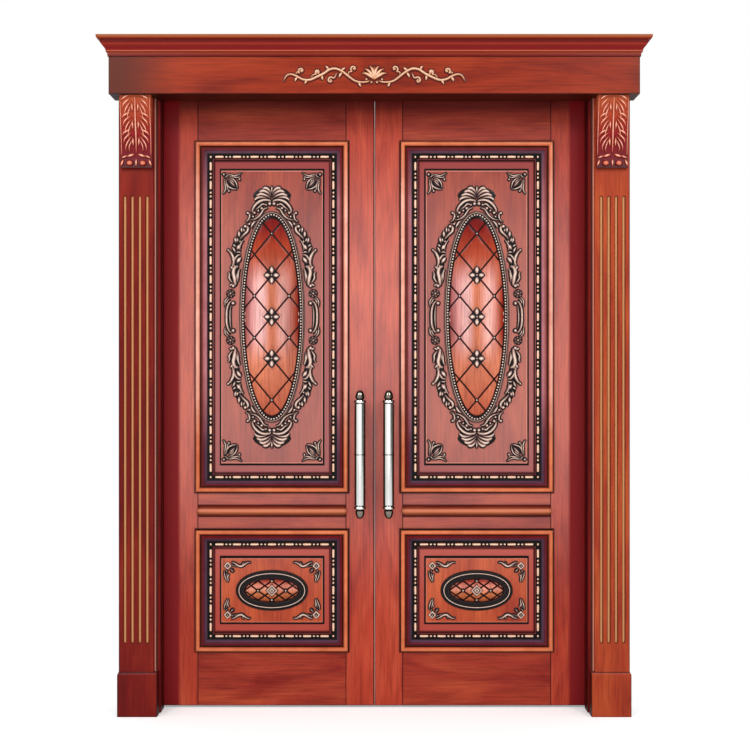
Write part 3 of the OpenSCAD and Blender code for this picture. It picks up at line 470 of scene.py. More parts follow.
def leaf_shade(finish, colour):
    """Painted shade of the frame on a leaf: dark beside the jambs and under the head, and a soft
    painted shadow line round each moulding, laid over the painted sheen at half height."""
    across, up = front_place(finish)
    colour = painted_sheen_middle(finish, colour, up)
    side = finish.ease(across, *SIDE_SHADE)
    head = finish.ease(up, *HEAD_SHADE)
    colour = finish.mix(finish.math("MULTIPLY", head, 0.72), colour, linear((66, 14, 20)))
    colour = finish.mix(finish.math("MULTIPLY", side, 0.98), colour, linear((128, 16, 22)))
    half_w = OPEN_W / 2 + MOULD_LAP
    gap = None
    for z, h in ((UP_Z, UP_H), (LOW_Z, LOW_H)):
        past = outside(finish, across, up, z, half_w, h / 2 + MOULD_LAP)
        gap = past if gap is None else finish.math("MINIMUM", gap, past)
    line = finish.ramp(finish.math("MULTIPLY", gap, 1 / LINE_REACH),
                       [(0.0, (70, 36, 34)), (0.2, (96, 60, 58)), (0.65, WHITE)])
    return finish.mix(1.0, colour, line, "MULTIPLY")


def board(name, node, axis, tones, roughness=0.36, line=1.2 * MM, shade=None):
    """Varnished board: clouded wood, pores as bump, and a dark line along its edges."""
    finish = Finish(name)
    colour, pores = wood_colour(finish, axis, *tones)
    if shade:
        colour = shade(finish, colour)
    edge = edge_distance(finish, node)
    joint = finish.ramp(finish.math("DIVIDE", edge, LINE_REACH),
                        [(0.0, (50, 24, 24)), (line / LINE_REACH, (80, 45, 45)),
                         (line / LINE_REACH * 2, WHITE)])
    finish.paint(finish.mix(0.85, colour, joint, "MULTIPLY"))
    varnish(finish, roughness)
    finish.bump(pores, 0.15 * MM, 0.35)
    return finish.material


def field_bands(height, z, margin):
    """Painted light and shade for a panel: round its raised field run a pale painted highlight, a
    black painted shadow line and a red band, and a darker painted shade lies next to the moulding.
    The painted highlight fades out under the head, where no light falls on it, is weaker low down,
    and the painted sheen at half height lies over the band."""
    def shade(finish, colour):
        across, up = front_place(finish)
        out = outside(finish, across, up, z, FIELD_W / 2, height / 2, BAND_SQUEEZE)
        place = finish.math("MULTIPLY_ADD", out, 1 / BAND_REACH, 0.25)
        white, black = WHITE, (16, 6, 8)
        red = finish.ramp(place, [(0.26, BLACK), (0.3, white)])
        colour = finish.mix(red, colour, linear(margin))
        colour = painted_sheen_middle(finish, colour, up)
        rim = finish.ramp(place, [(0.12, BLACK), (0.15, white), (0.2, white), (0.22, BLACK)])
        rim = finish.math("MULTIPLY", rim, finish.ease(up, *RIM_FADE))
        lit = finish.math("MULTIPLY_ADD", finish.ease(up, *RIM_RISE), 0.45, 0.35)
        rim = finish.math("MULTIPLY", rim, lit)
        colour = finish.mix(rim, colour, linear((226, 146, 128)))
        lines = finish.ramp(place, [
            (0.19, white), (0.21, black), (0.34, black), (0.37, white), (0.7, white),
            (0.77, (150, 124, 136)), (0.87, (90, 60, 70))])
        return finish.mix(1.0, colour, lines, "MULTIPLY")
    return shade


def rail_shade(finish, colour):
    """Painted shade for a mid rail: the leaf's, and dark painted shadow lines above and below the
    half-round.
    """
    colour = leaf_shade(finish, colour)
    across, up = front_place(finish)
    past = outside(finish, across, up, (roll_low.z + roll_high.z) / 2,
                   (roll_high.x - roll_low.x) / 2, (roll_high.z - roll_low.z) / 2)
    line = finish.ramp(finish.math("MULTIPLY", past, 1 / LINE_REACH),
                       [(0.0, (120, 40, 34)), (0.45, (130, 60, 50)), (0.75, WHITE)])
    return finish.mix(1.0, colour, line, "MULTIPLY")


def frieze_shade(finish, colour):
    """Painted shade: the frieze is browner and darker towards both ends."""
    spot = finish.spot()
    left = finish.ease(spot[0], -0.62, -0.86)
    right = finish.math("MULTIPLY", finish.ease(spot[0], 0.82, 0.93), 0.6)
    return finish.mix(finish.math("MAXIMUM", left, right), colour, linear((92, 36, 22)))


FLUTE_DEEP, FLUTES_MIDDLE, FLUTES_HALF, ARRIS = 8 * MM, 67 * MM, 50 * MM, 6 * MM


def flute_shade(finish, colour):
    """Painted light and shade for a pilaster: each flute is dark at its rims, as painted shade, and
    pale along its bottom, as a painted highlight, and a painted highlight follows the arris beside
    the door."""
    spot = finish.spot()
    deep = finish.math("MULTIPLY", finish.math("SUBTRACT", spot[1], pilaster_low.y),
                       1 / FLUTE_DEEP)
    across = finish.math("ABSOLUTE", spot[0])
    inside = finish.math("LESS_THAN", finish.apart(across, pilaster_low.x + FLUTES_MIDDLE), FLUTES_HALF)
    mask = finish.ramp(deep, [(0.03, BLACK), (0.08, WHITE)])
    # Painted shade at each flute's rims, and a painted highlight along its bottom.
    tan = finish.ramp(deep, [(0.1, (74, 16, 12)), (0.5, (90, 26, 16)),
                             (0.62, (178, 112, 70)), (0.78, (214, 156, 104))])
    colour = finish.mix(finish.math("MULTIPLY", mask, inside), colour, tan)
    arris = finish.math("SUBTRACT", across, pilaster_low.x)
    line = finish.ramp(finish.math("MULTIPLY", arris, 1 / ARRIS),
                       [(0.75, WHITE), (1.0, BLACK)])
    return finish.mix(finish.math("MULTIPLY", line, 0.7), colour, linear((214, 150, 130)))


LEAF_TONES = ((154, 42, 32), (182, 64, 42), (202, 84, 56))
PANEL_TONES = ((132, 40, 30), (154, 56, 38), (172, 72, 44))
RAIL_TONES = ((136, 34, 26), (162, 56, 38), (184, 76, 46))
LOW_PANEL_TONES = ((156, 54, 36), (182, 74, 44), (202, 92, 52))
FRAME_TONES = ((114, 28, 14), (144, 44, 20), (160, 56, 26))
LEFT_TONES = ((98, 12, 10), (118, 20, 14), (136, 34, 18))
RIGHT_TONES = ((150, 48, 28), (172, 66, 34), (186, 84, 42))
JAMB_TONES = ((126, 20, 20), (146, 28, 26), (162, 38, 32))
# The head jamb gets brighter tones than the side jambs: painted light, standing in for light under the
# frieze.
HEAD_PAINTED_LIGHT_TONES = ((166, 26, 30), (186, 36, 38), (204, 48, 46))


def dress(node, material):
    """Gives a carried-over board its finish in every material slot."""
    mesh = nodes[node].data
    if not mesh.materials:
        mesh.materials.append(material)
    for k in range(len(mesh.materials)):
        mesh.materials[k] = material


for side in SIDES:
    for name, axis in (("hinge_stile", "z"), ("lock_stile", "z"), ("top_rail", "x"),
                       ("mid_rail", "x"), ("bottom_rail", "x")):
        node = f"{side}_{name}"
        tones = RAIL_TONES if axis == "x" else LEAF_TONES
        shade = rail_shade if name == "mid_rail" else leaf_shade
        dress(node, board(node + "_varnish", node, axis, tones, shade=shade))
    for name, z, height in (("upper_panel", UP_Z, FIELD_UP_H), ("lower_panel", LOW_Z, FIELD_LOW_H)):
        node = f"{side}_{name}"
        upper = name == "upper_panel"
        bands = field_bands(height, z, (142, 42, 40) if upper else (176, 70, 58))
        dress(node, board(node + "_varnish", node, "z", PANEL_TONES if upper else LOW_PANEL_TONES,
                          shade=bands))
    node = f"{side}_back_mouldings"
    dress(node, board(node + "_varnish", node, "z", LEAF_TONES))
    tones = LEFT_TONES if side == "left" else RIGHT_TONES
    for node, shade in ((f"pilaster_{side}", flute_shade), (f"plinth_{side}", None)):
        dress(node, board(node + "_varnish", node, "z", tones, shade=shade))
dress("frieze_board", board("frieze_varnish", "frieze_board", "x", FRAME_TONES, shade=frieze_shade))
for node, axis in (("jamb_left", "z"), ("jamb_right", "z"), ("head_jamb", "x")):
    dress(node, board(node + "_varnish", node, axis, JAMB_TONES if axis == "z" else HEAD_PAINTED_LIGHT_TONES))
print("finishes so far:", len(bpy.data.materials))

# %% [markdown]
# The carving's finish mixes from nearly black in the hollows, through brown, to a pale
# bronze on the ridges: dark patina below, and rubbed wood with a painted highlight on top. A
# little noise breaks the edge between them, as rubbing does.


# %% Patina finish
def patina(name, stops, rub=0.22, height_tint=None):
    """Colour follows the tone of each point, shifted a little by fine noise: dark patina in the
    hollows, and on the ridges rubbed wood with a painted highlight. A height tint goes over the
    dark parts: its ramp runs up from one height to another."""
    finish = Finish(name)
    tone = finish.tone()
    worn = finish.noise((260, 260, 260), 2.0, 0.6)
    shifted = finish.math("MULTIPLY_ADD", worn, rub, finish.math("SUBTRACT", tone, rub / 2))
    colour = finish.ramp(shifted, stops)
    if height_tint:
        low, high, tints = height_tint
        place = finish.math("MULTIPLY_ADD", front_place(finish)[1], 1 / (high - low), -low / (high - low))
        dark = finish.ease(shifted, 0.75, 0.35)
        colour = finish.mix(dark, colour, finish.ramp(place, tints))
    finish.paint(colour)
    finish.set(Roughness=0.34)
    finish.shader.inputs["Specular IOR Level"].default_value = 0.2
    finish.bump(worn, 0.2 * MM, 0.3)
    return finish.material


BRONZE = patina("patina_and_painted_highlight", [
    (0.0, (10, 5, 6)), (0.28, (20, 10, 12)), (0.52, (78, 54, 56)),
    (0.72, (138, 108, 104)), (0.88, (210, 174, 156)), (1.0, (244, 228, 214))])
TURNED = patina("bead_patina_and_painted_highlight", [
    (0.0, (10, 4, 6)), (0.34, (40, 14, 14)), (0.58, (128, 66, 46)),
    (0.78, (196, 130, 98)), (0.92, (236, 184, 150)), (1.0, (250, 226, 204))])
GILT = patina("gilt_patina_and_painted_highlight", [
    (0.0, (74, 10, 8)), (0.26, (96, 24, 16)), (0.46, (160, 78, 44)),
    (0.7, (206, 138, 96)), (1.0, (240, 206, 176))])

# %% [markdown]
# ## The mouldings
# Four mitred lengths frame each panel. The section is worked as a line of points, u inwards
# from the outer edge and v in front of the leaf, and carried round the rectangle, so the
# mitres follow by themselves. The distance u travels with each point as its tone, and the
# finish paints the bands: a bright half-round with a painted highlight, a dark groove, a red
# cove and a dark channel, the dark ones deepened by painted shade.


# %% Section and loop
def arc(cx, cy, r, a0, a1, n=12):
    """Points of a round stretch from angle a0 to a1, in degrees."""
    a = np.radians(np.linspace(a0, a1, n))
    return np.stack([cx + r * np.cos(a), cy + r * np.sin(a)], -1)


MOULD = MM * np.concatenate([
    [[0, 0]], arc(9, 6, 9, 180, 0, 20), [[18.4, 5.2], [19.5, 4.6], [26, 4.6], [26.6, 5.2], [27, 12.4]],
    [[27.8, 13.2], [28.8, 13]], arc(45, 13, 16, 180, 270, 14)[1:], [[45.4, -4], [58.6, -4], [59, -0.4]],
    [[60, 0.3], [61.4, 0.2], [62, -0.6], [62, -8], [8, -8], [8, 0]]])


def framed(section, w, h, cx, cz, y):
    """Carries a section round a w by h rectangle: a point u inwards lies on a smaller one."""
    u, v = section[:, 0], section[:, 1]
    corners = []
    for sx, sz in ((-1, -1), (1, -1), (1, 1), (-1, 1)):
        corners.append(np.stack([cx + sx * (w / 2 - u), y - v, cz + sz * (h / 2 - u)], -1))
    pts = np.stack(corners).reshape(-1, 3)
    return pts, grid_faces(4, len(u), True, True), np.tile(u / (62 * MM), 4)


def mould_finish():
    """Bands by the tone, which runs from 0 at the outer edge to 1 at the inner one, and the
    dark lines between them, which the pale light at half height leaves dark. The bands carry
    painted highlights on the rounds; a paler copy of them is a painted sheen at half height, and
    the dark lines are painted shade at the outer edge, in the groove and in the channel."""
    finish = Finish("moulding_bands")
    tone = finish.tone()
    k = 1 / 62
    dark = finish.ramp(tone, [(at * k, c) for at, c in (
        (0, (160, 76, 46)), (4, (214, 116, 72)), (9, (230, 134, 92)), (13, (212, 108, 66)),
        (17.8, (140, 52, 30)), (21, (108, 16, 18)), (27, (134, 18, 24)), (29.5, (110, 50, 66)),
        (34, (96, 62, 86)), (40, (70, 44, 60)), (44.6, (50, 24, 30)),
        (59, (50, 24, 30)), (60.5, (130, 56, 56)), (62, (100, 34, 34)))])
    pale = finish.ramp(tone, [(at * k, c) for at, c in (
        (0, (214, 136, 118)), (4, (250, 188, 168)), (9, (250, 186, 166)), (13, (238, 160, 136)),
        (17.8, (160, 84, 68)), (21, (138, 60, 54)), (26.5, (150, 66, 62)), (29, (206, 128, 130)),
        (34, (210, 136, 146)), (38, (176, 116, 126)), (41, (120, 68, 76)), (44.6, (70, 40, 44)),
        (59, (70, 40, 44)), (60.5, (160, 96, 96)), (62, (140, 80, 78)))])
    # Painted sheen: the paler copy of the bands wins near half height.
    high = finish.apart(front_place(finish)[1], MOULD_PALE_Z)
    bands = finish.mix(finish.ease(high, *MOULD_PALE), dark, pale)
    clouds = finish.noise((14, 14, 14), 3.0, 0.6)
    drift = finish.ramp(clouds, [(0.3, (215, 195, 190)), (0.7, WHITE)])
    colour = finish.mix(0.8, bands, drift, "MULTIPLY")
    white, black = WHITE, (16, 6, 8)
    # Painted shade: dark lines at the outer edge, in the groove and along the channel.
    lines = finish.ramp(tone, [(at * k, c) for at, c in (
        (0, black), (1.4, black), (2.6, white), (16.4, white), (17.8, (70, 34, 34)), (20, (90, 50, 50)),
        (21.5, white), (38, white), (41.5, (70, 48, 54)), (44, black), (58.8, black), (60, white),
        (62, white))])
    finish.paint(finish.mix(1.0, colour, lines, "MULTIPLY"))
    varnish(finish, 0.3)
    return finish.material


MOULDING = mould_finish()
for side, sign in SIDES.items():
    for level, z, h in (("upper", UP_Z, UP_H), ("lower", LOW_Z, LOW_H)):
        loop = framed(MOULD, OPEN_W + 2 * MOULD_LAP, h + 2 * MOULD_LAP, OPEN_X, z, FACE_Y)
        piece(f"{side}_{level}_moulding_run", loop, f"{side}_leaf", MOULDING,
              [f"{side}_{level}_moulding"], mirror=sign < 0)

# %% [markdown]
# ## Bead and reel
# In the channel runs a row of long reels with pairs of beads between them. Each is turned,
# so a half turn of its outline gives the visible half, and its flat foot sits on the floor
# of the channel. All the reels of a row are one array, moved along by the pitch.


# %% Half-turned shapes in a row
def half_turned(outline, places, along_x, around=9):
    """Half a turn of (place, radius) pairs, repeated at each place; the flat side is closed."""
    a = np.linspace(0, np.pi, around)
    l, r = outline[:, 0][:, None], outline[:, 1][:, None]
    local = np.stack([np.repeat(l, around, 1), r * np.cos(a), r * np.sin(a)], -1).reshape(-1, 3)
    # Tone: pale where the turn faces the front, dark on its flanks and ends; rubbed patina, with a painted
    # highlight on the crest and painted shade on the flanks.
    tone = np.repeat(np.ones_like(l), around, 1) * np.sin(a) ** 0.6
    tone[0] = tone[-1] = 0.1
    n, k = len(outline), around
    one = grid_faces(n, k, wrap_cols=True).tolist()
    one += [list(range(k)), list(range((n - 1) * k, n * k))]
    parts = []
    for x, z in places:
        p = local.copy() if along_x else local[:, [1, 0, 2]]
        p[:, 0] += x
        p[:, 1] += z
        parts.append((p, one, tone.reshape(-1)))
    return parts


REEL_L, REEL_R, BEAD_R, BEAD_STEP = 30 * MM, 5 * MM, 4.2 * MM, 13 * MM
half_l = REEL_L / 2
REEL = np.array([[-half_l, 0.4 * REEL_R], [-half_l * 0.93, 0.75 * REEL_R],
                 [-half_l * 0.8, 0.93 * REEL_R], [0, REEL_R], [half_l * 0.8, 0.93 * REEL_R],
                 [half_l * 0.93, 0.75 * REEL_R], [half_l, 0.4 * REEL_R]])
turn_a = np.linspace(0.04, np.pi - 0.04, 7)
BEAD = np.stack([-BEAD_R * np.cos(turn_a), BEAD_R * np.sin(turn_a)], -1)


def bead_loop(w, h):
    """Rows on all four sides of a w by h rectangle, with a bead in each corner."""
    parts = []
    for length, across, along_x in ((w, h, True), (h, w, False)):
        count = round(length / REEL_PITCH)
        step = length / count
        reels = (np.arange(count) + 0.5) * step - length / 2
        pairs = np.concatenate([np.arange(1, count) * step - length / 2 + k * BEAD_STEP / 2
                                for k in (-1, 1)])
        if not along_x:
            pairs = np.concatenate([pairs, [-length / 2, length / 2]])
        for s in (-1, 1):
            def spot(v):
                return [(q, s * across / 2) if along_x else (s * across / 2, q) for q in v]
            parts += half_turned(REEL, spot(reels), along_x)
            parts += half_turned(BEAD, spot(pairs), along_x)
    return parts


for side, sign in SIDES.items():
    rows = []
    for z, h in ((UP_Z, UP_H), (LOW_Z, LOW_H)):
        inset = 2 * (BEAD_LINE - MOULD_LAP)
        flat = stack(bead_loop(OPEN_W - inset, h - inset))
        rows.append(stand(flat, OPEN_X, z, FACE_Y - CHANNEL_V))
    piece(f"{side}_bead_and_reel", stack(rows), f"{side}_leaf", TURNED,
          [f"{side}_beading"], mirror=sign < 0)

# %% [markdown]
# ## The buttoned ovals
# The medallion's middle is wood cut to look like a buttoned cushion: pillows between
# crossing seams, with a flower or a button on the crossings. It is one height over an oval.
# A square grid is bent to the oval with no pole, by x = u sqrt(1 - v^2/2) and likewise for z.


# %% Quilted dome
def quilted(a, b, high, dx, dz, flowers, nu, nv):
    """Height over the oval: a round crown, less a crease near each seam. Seams are the lines
    where (x/dx + z/dz)/2 or (x/dx - z/dz)/2 is whole. Each flower, given as its place and
    half sizes, lies on a flat diamond, where |x|/wide + |z|/tall stays under 1."""
    u, v = np.meshgrid(np.linspace(-1, 1, nu), np.linspace(-1, 1, nv), indexing="ij")
    x = a * u * np.sqrt(1 - v ** 2 / 2)
    z = b * v * np.sqrt(1 - u ** 2 / 2)
    rho2 = np.minimum(1, (x / a) ** 2 + (z / b) ** 2)
    slope = 0.5 * np.hypot(1 / dx, 1 / dz)
    gaps = []
    for k in (1, -1):
        p = (x / dx + k * z / dz) / 2
        gaps.append(np.abs(p - np.round(p)) / slope)
    near, far = np.minimum(*gaps), np.maximum(*gaps)
    soft = 0.15 / slope
    puff = (1 - np.exp(-near / (soft * 0.5))) * (1 - 0.5 * np.exp(-far / soft))
    for fx, fz, wide, tall in flowers:
        away = np.abs(x - fx) / wide + np.abs(z - fz) / tall
        puff = puff * np.clip((away - 1) / 0.2, 0, 1)
    crown = np.sqrt(np.maximum(0, 1 - rho2 * 0.93))
    h = (high - QUILT_D) * crown + QUILT_D * puff * (0.4 + 0.6 * np.sqrt(np.maximum(0, 1 - rho2)))
    seam = np.exp(-(near / (2.6 * MM)) ** 2)
    rim = np.exp(-((1 - np.sqrt(rho2)) * min(a, b) / (2.0 * MM)) ** 2)
    tone = np.maximum(seam, rim)
    pts = np.stack([x, z, h + 0.2 * MM], -1).reshape(-1, 3)
    faces = grid_faces(nu, nv).tolist()
    edge = ([i * nv for i in range(nu)] + [(nu - 1) * nv + j for j in range(1, nv)]
            + [i * nv + nv - 1 for i in range(nu - 2, -1, -1)] + [j for j in range(nv - 2, 0, -1)])
    foot = pts[edge] * [1, 1, 0]
    base = len(pts)
    pts = np.concatenate([pts, foot])
    m = len(edge)
    faces += [[edge[k], edge[(k + 1) % m], base + (k + 1) % m, base + k] for k in range(m)]
    faces += [[base + k for k in range(m)]]
    return pts, faces, np.concatenate([tone.reshape(-1), np.ones(m)])


def cushion_finish(name, body):
    """Warm varnished wood with dark seams, where the tone is 1; body gives its colour, with the
    bulge's painted highlights and painted shade.
    """
    finish = Finish("quilt_varnish_" + name)
    clouds, pores = wood_colour(finish, "z", (206, 186, 180), (232, 216, 210), (255, 246, 240))
    colour = finish.mix(1.0, body(finish), clouds, "MULTIPLY")
    tone = finish.tone()
    seam = finish.ramp(tone, [(0.12, WHITE), (0.45, (90, 24, 22)),
                              (0.8, (30, 6, 6))])
    finish.paint(finish.mix(1.0, colour, seam, "MULTIPLY"))
    varnish(finish, 0.3)
    finish.bump(pores, 0.12 * MM, 0.3)
    return finish.material


def upper_dome_painted_light(sign):
    """Painted light and shade on the upper bulge: two pale bands, painted highlights, run down it
    with an orange one between them, and both ends of the oval are redder and darker, as painted
    shade."""
    # body paints the bulge's highlights and shade into its colour.
    def body(finish):
        spot = finish.spot()
        up = finish.math("MULTIPLY_ADD", spot[2], 0.5 / DOME_B, 0.5 - UP_Z * 0.5 / DOME_B)
        ends = finish.ramp(up, [
            (0.0, (206, 106, 76)), (0.2, (222, 134, 102)), (0.35, (226, 142, 114)), (0.6, (226, 140, 114)),
            (0.74, (196, 98, 72)), (0.86, (176, 64, 36)), (0.93, (142, 28, 20)), (1.0, (112, 10, 12))])
        side = finish.math("MULTIPLY_ADD", spot[0], 0.5 / DOME_A,
                           0.5 - sign * OPEN_X * 0.5 / DOME_A)
        bands = finish.ramp(side, [
            (0.0, (156, 60, 52)), (0.09, (200, 132, 134)), (0.17, (236, 172, 170)), (0.3, (252, 206, 206)),
            (0.37, (246, 196, 194)), (0.43, (236, 160, 140)), (0.48, (218, 130, 98)),
            (0.53, (218, 132, 98)), (0.59, (230, 156, 138)), (0.65, (246, 184, 176)),
            (0.72, (250, 198, 190)), (0.79, (238, 172, 166)),
            (0.86, (216, 134, 118)), (0.92, (184, 90, 68)), (0.97, (158, 42, 22)), (1.0, (140, 36, 26))])
        middle = finish.ease(finish.apart(up, 0.53), 0.28, 0.1)
        return finish.mix(middle, ends, bands)
    return body


def lower_dome_painted_light(finish):
    """Painted light and shade on the lower bulge: pale above the middle, where the bulge meets the
    light, orange brown below, and darker at the top and the foot.
    """
    up = finish.math("MULTIPLY_ADD", front_place(finish)[1], 0.5 / LOW_B, 0.5 - LOW_Z * 0.5 / LOW_B)
    return finish.ramp(up, [
        (0.0, (96, 40, 22)), (0.15, (184, 100, 54)), (0.38, (208, 126, 82)), (0.55, (240, 164, 140)),
        (0.72, (232, 148, 128)), (0.88, (176, 66, 50)), (1.0, (112, 28, 24))])


FLOWER_X, FLOWER_Z, LOW_FLOWER = 30 * MM, 35 * MM, 20 * MM
BUTTON_R, LOW_BUTTON_R = 3.8 * MM, 3.9 * MM
BUTTONS = [(i * QUILT_X, j * QUILT_Z) for i, j in ((-1, -1), (-1, 1), (1, -1), (1, 1), (0, -4), (0, 4))]
LOW_BUTTONS = [(LOW_A / 2, 0), (-LOW_A / 2, 0), (0, LOW_B * 0.8), (0, -LOW_B * 0.8)]
FLOWERS = ([(0, j * QUILT_Z, FLOWER_X * 1.12, FLOWER_Z * 1.12) for j in (-2, 0, 2)]
           + [(x, z, BUTTON_R * 2.4, BUTTON_R * 2.4) for x, z in BUTTONS])
LOW_FLOWERS = ([(0, 0, LOW_FLOWER * 1.12, LOW_FLOWER * 1.12)]
               + [(x, z, LOW_BUTTON_R * 2.4, LOW_BUTTON_R * 2.4) for x, z in LOW_BUTTONS])
LOW_QUILT = cushion_finish("low", lower_dome_painted_light)
for side, sign in SIDES.items():
    quilt = cushion_finish(side, upper_dome_painted_light(sign))
    top = quilted(DOME_A, DOME_B, DOME_H, QUILT_X, QUILT_Z, FLOWERS, 131, 291)
    on_leaf(side, "upper_cushion", top, UP_Z, quilt, "upper_dome")
    low = quilted(LOW_A, LOW_B, LOW_H_DOME, LOW_A / 4, LOW_B * 0.41, LOW_FLOWERS, 181, 101)
    on_leaf(side, "lower_cushion", low, LOW_Z, LOW_QUILT, "lower_dome")

# %% [markdown]
# Flowers with four pointed petals mark the middle crossings, and plain buttons the others.
# They are knobs and leaves from above, raised to the height of the crown where they sit.


# %% Buttons and flowers
def lifted(part, height):
    """Raises a part to the given height."""
    p, f, t = part
    q = p.copy()
    q[:, 2] += height
    return q, f, t


def plate(x, z, wide, tall, lift, sides=4, tone=0.0):
    """A thin plate with a raised middle; four sides make a diamond, and many an oval."""
    a = np.linspace(0, 2 * np.pi, sides, endpoint=False)
    rings = [(1.0, 0.0), (1.0, lift + 0.2 * MM), (0.9, lift + 0.8 * MM), (0.02, lift + 0.8 * MM)]
    pts = np.concatenate([np.stack([x + wide * r * np.cos(a), z + tall * r * np.sin(a),
                                    np.full(sides, h)], -1) for r, h in rings])
    faces = grid_faces(len(rings), sides, wrap_cols=True).tolist()
    faces += [list(range(sides)), list(range(3 * sides, 4 * sides))]
    return pts, faces, np.full(len(pts), tone)


def flower(x, z, wide, tall, lift):
    """A dark diamond with four pale petals that point to its corners, and a pearl."""
    parts = [plate(x, z, wide, tall, lift)]
    for k in range(4):
        along = np.array([math.cos(k * np.pi / 2) * wide, math.sin(k * np.pi / 2) * tall])
        here = np.array([x, z])
        parts.append(lifted(leaf(here + 0.16 * along, here + 0.9 * along, wide * 0.62, 3 * MM, veins=0),
                            lift + 0.6 * MM))
    parts += [plate(x, z, wide * 0.24, wide * 0.24, lift + 3 * MM, 16),
              lifted(knob([x, z], wide * 0.11, 3.4 * MM), lift + 3.4 * MM)]
    return parts


def nested(x, z, size, lift):
    """Diamonds one inside the other, pale and dark in turn, with a pearl."""
    parts = [plate(x, z, size * k, size * k, lift + h * MM, tone=t)
             for k, h, t in ((1.12, 0, 0.0), (0.98, 0.9, 0.85), (0.68, 1.6, 0.0), (0.46, 2.4, 0.9),
                             (0.24, 3, 0.1))]
    return parts + [lifted(knob([x, z], size * 0.12, 2 * MM), lift + 3 * MM)]


def button(x, z, size, lift):
    """A pale knob in a dark round dish."""
    return [plate(x, z, size * 1.8, size * 1.8, lift, 20),
            lifted(knob([x, z], size, 4.2 * MM), lift + 0.3 * MM)]


def crown_height(x, z):
    """Height of the upper dome's crown at a seam crossing."""
    rho2 = (x / DOME_A) ** 2 + (z / DOME_B) ** 2
    return (DOME_H - QUILT_D) * math.sqrt(max(0, 1 - rho2 * 0.93))


buttons = []
for j in (-2, 0, 2):
    buttons += flower(0, j * QUILT_Z, FLOWER_X, FLOWER_Z, crown_height(0, j * QUILT_Z))
for x, z in BUTTONS:
    buttons += button(x, z, BUTTON_R, crown_height(x, z))
for sx in (-1, 1):
    edge = sx * DOME_A * 0.985
    for tip in ((-0.16, 0.0), (-0.03, 0.26), (-0.03, -0.26)):
        far = [edge + sx * tip[0] * DOME_A, tip[1] * DOME_A]
        buttons.append(lifted(leaf([edge, 0], far, 14 * MM, 4 * MM, veins=1), 3 * MM))
low_crown = LOW_H_DOME - QUILT_D
low_buttons = nested(0, 0, LOW_FLOWER, low_crown)
for x, z in LOW_BUTTONS:
    rho2 = (x / LOW_A) ** 2 + (z / LOW_B) ** 2
    low_buttons += button(x, z, LOW_BUTTON_R, low_crown * math.sqrt(1 - rho2 * 0.93))
for side, sign in SIDES.items():
    both = stack([stand(stack(buttons), OPEN_X, UP_Z, FACE_Y - FIELD_V),
                  stand(stack(low_buttons), OPEN_X, LOW_Z, FACE_Y - FIELD_V)])
    piece(f"{side}_cushion_buttons", both, f"{side}_leaf", BRONZE,
          mirror=sign < 0)

# %% [markdown]
# ## The rings round the ovals
# A ring is a section carried round an oval. Beside its rim sits a row of small beads, all
# of one size, at even steps along the oval's length, which is found by adding chords up.


# %% Rings
def oval_sweep(section, a, b, n=240):
    """Carries (u, h, tone) points round an oval, u outwards from the half axes a and b."""
    t = np.linspace(0, 2 * np.pi, n, endpoint=False)
    n_hat = np.stack([np.cos(t) * b, np.sin(t) * a], -1)
    n_hat /= np.linalg.norm(n_hat, axis=1, keepdims=True)
    line = np.stack([a * np.cos(t), b * np.sin(t)], -1)
    xy = line[:, None] + n_hat[:, None] * section[None, :, :1]
    h = np.repeat(section[None, :, 1], n, 0)
    pts = np.concatenate([xy, h[..., None]], -1).reshape(-1, 3)
    return pts, grid_faces(n, len(section), True, True), np.tile(section[:, 2], n)


def even_places(a, b, step):
    """Places at even steps along an oval, from the running sum of its chords."""
    t = np.linspace(0, 2 * np.pi, 4000)
    p = np.stack([a * np.cos(t), b * np.sin(t)], -1)
    run = np.concatenate([[0], np.cumsum(np.linalg.norm(np.diff(p, axis=0), axis=1))])
    count = round(run[-1] / step)
    at = np.interp(np.arange(count) * run[-1] / count, run, t)
    return np.stack([a * np.cos(at), b * np.sin(at)], -1)


w = RING_W
RING = np.array([[0, 0, 0], [0, 2.6 * MM, 0], [w * 0.02, 3 * MM, 0], [w * 0.53, 3 * MM, 0],
                 [w * 0.56, 6.2 * MM, 0.4], [w * 0.61, 7.6 * MM, 0.9], [w * 0.67, 7.4 * MM, 0.84],
                 [w * 0.73, 5 * MM, 0.3], [w * 0.8, 3 * MM, 0.34], [w * 0.88, 3.8 * MM, 0.78],
                 [w * 0.94, 2.8 * MM, 0.6], [w, 1 * MM, 0.05], [w, 0, 0]])
ring_parts = [oval_sweep(RING, DOME_A + 0.3 * MM, DOME_B + 0.3 * MM)]
for x, z in even_places(DOME_A + w * 0.3, DOME_B + w * 0.3, 9.8 * MM):
    p, f, t = knob([x, z], 3.3 * MM, 3.8 * MM, around=9, rings=4)
    ring_parts.append(lifted((p, f, np.clip(t * 1.6, 0, 1)), 3 * MM))
w = LOW_RING
LOW_RING_SECTION = np.array([
    [0, 0, 0], [0, 3.6 * MM, 0.2], [w * 0.06, 5.4 * MM, 0.44], [w * 0.13, 5.4 * MM, 0.3],
    [w * 0.17, 4 * MM, 0.04], [w * 0.5, 4 * MM, 0], [w * 0.54, 6.6 * MM, 0.3], [w * 0.58, 8 * MM, 0.95],
    [w * 0.64, 8 * MM, 0.9], [w * 0.68, 6.4 * MM, 0.2], [w * 0.72, 4.4 * MM, 0.02],
    [w * 0.97, 3.4 * MM, 0], [w, 2 * MM, 0], [w, 0, 0]])
low_ring = oval_sweep(LOW_RING_SECTION, LOW_A + 0.3 * MM, LOW_B + 0.3 * MM, 160)
for side in SIDES:
    on_leaf(side, "beaded_ring", stack(ring_parts), UP_Z, BRONZE, "upper_ring")
    on_leaf(side, "lower_oval_ring", low_ring, LOW_Z, BRONZE, "lower_ring")

# %% [markdown]
# ## The wreath
# Round the oval runs an open wreath: a shell at the top and foot, pairs of scrolls, ferns,
# a bud, acanthus leaves and a rosette at each side. One quarter is drawn, and the other
# three are its mirror images. Places are shares of the wreath's half height.

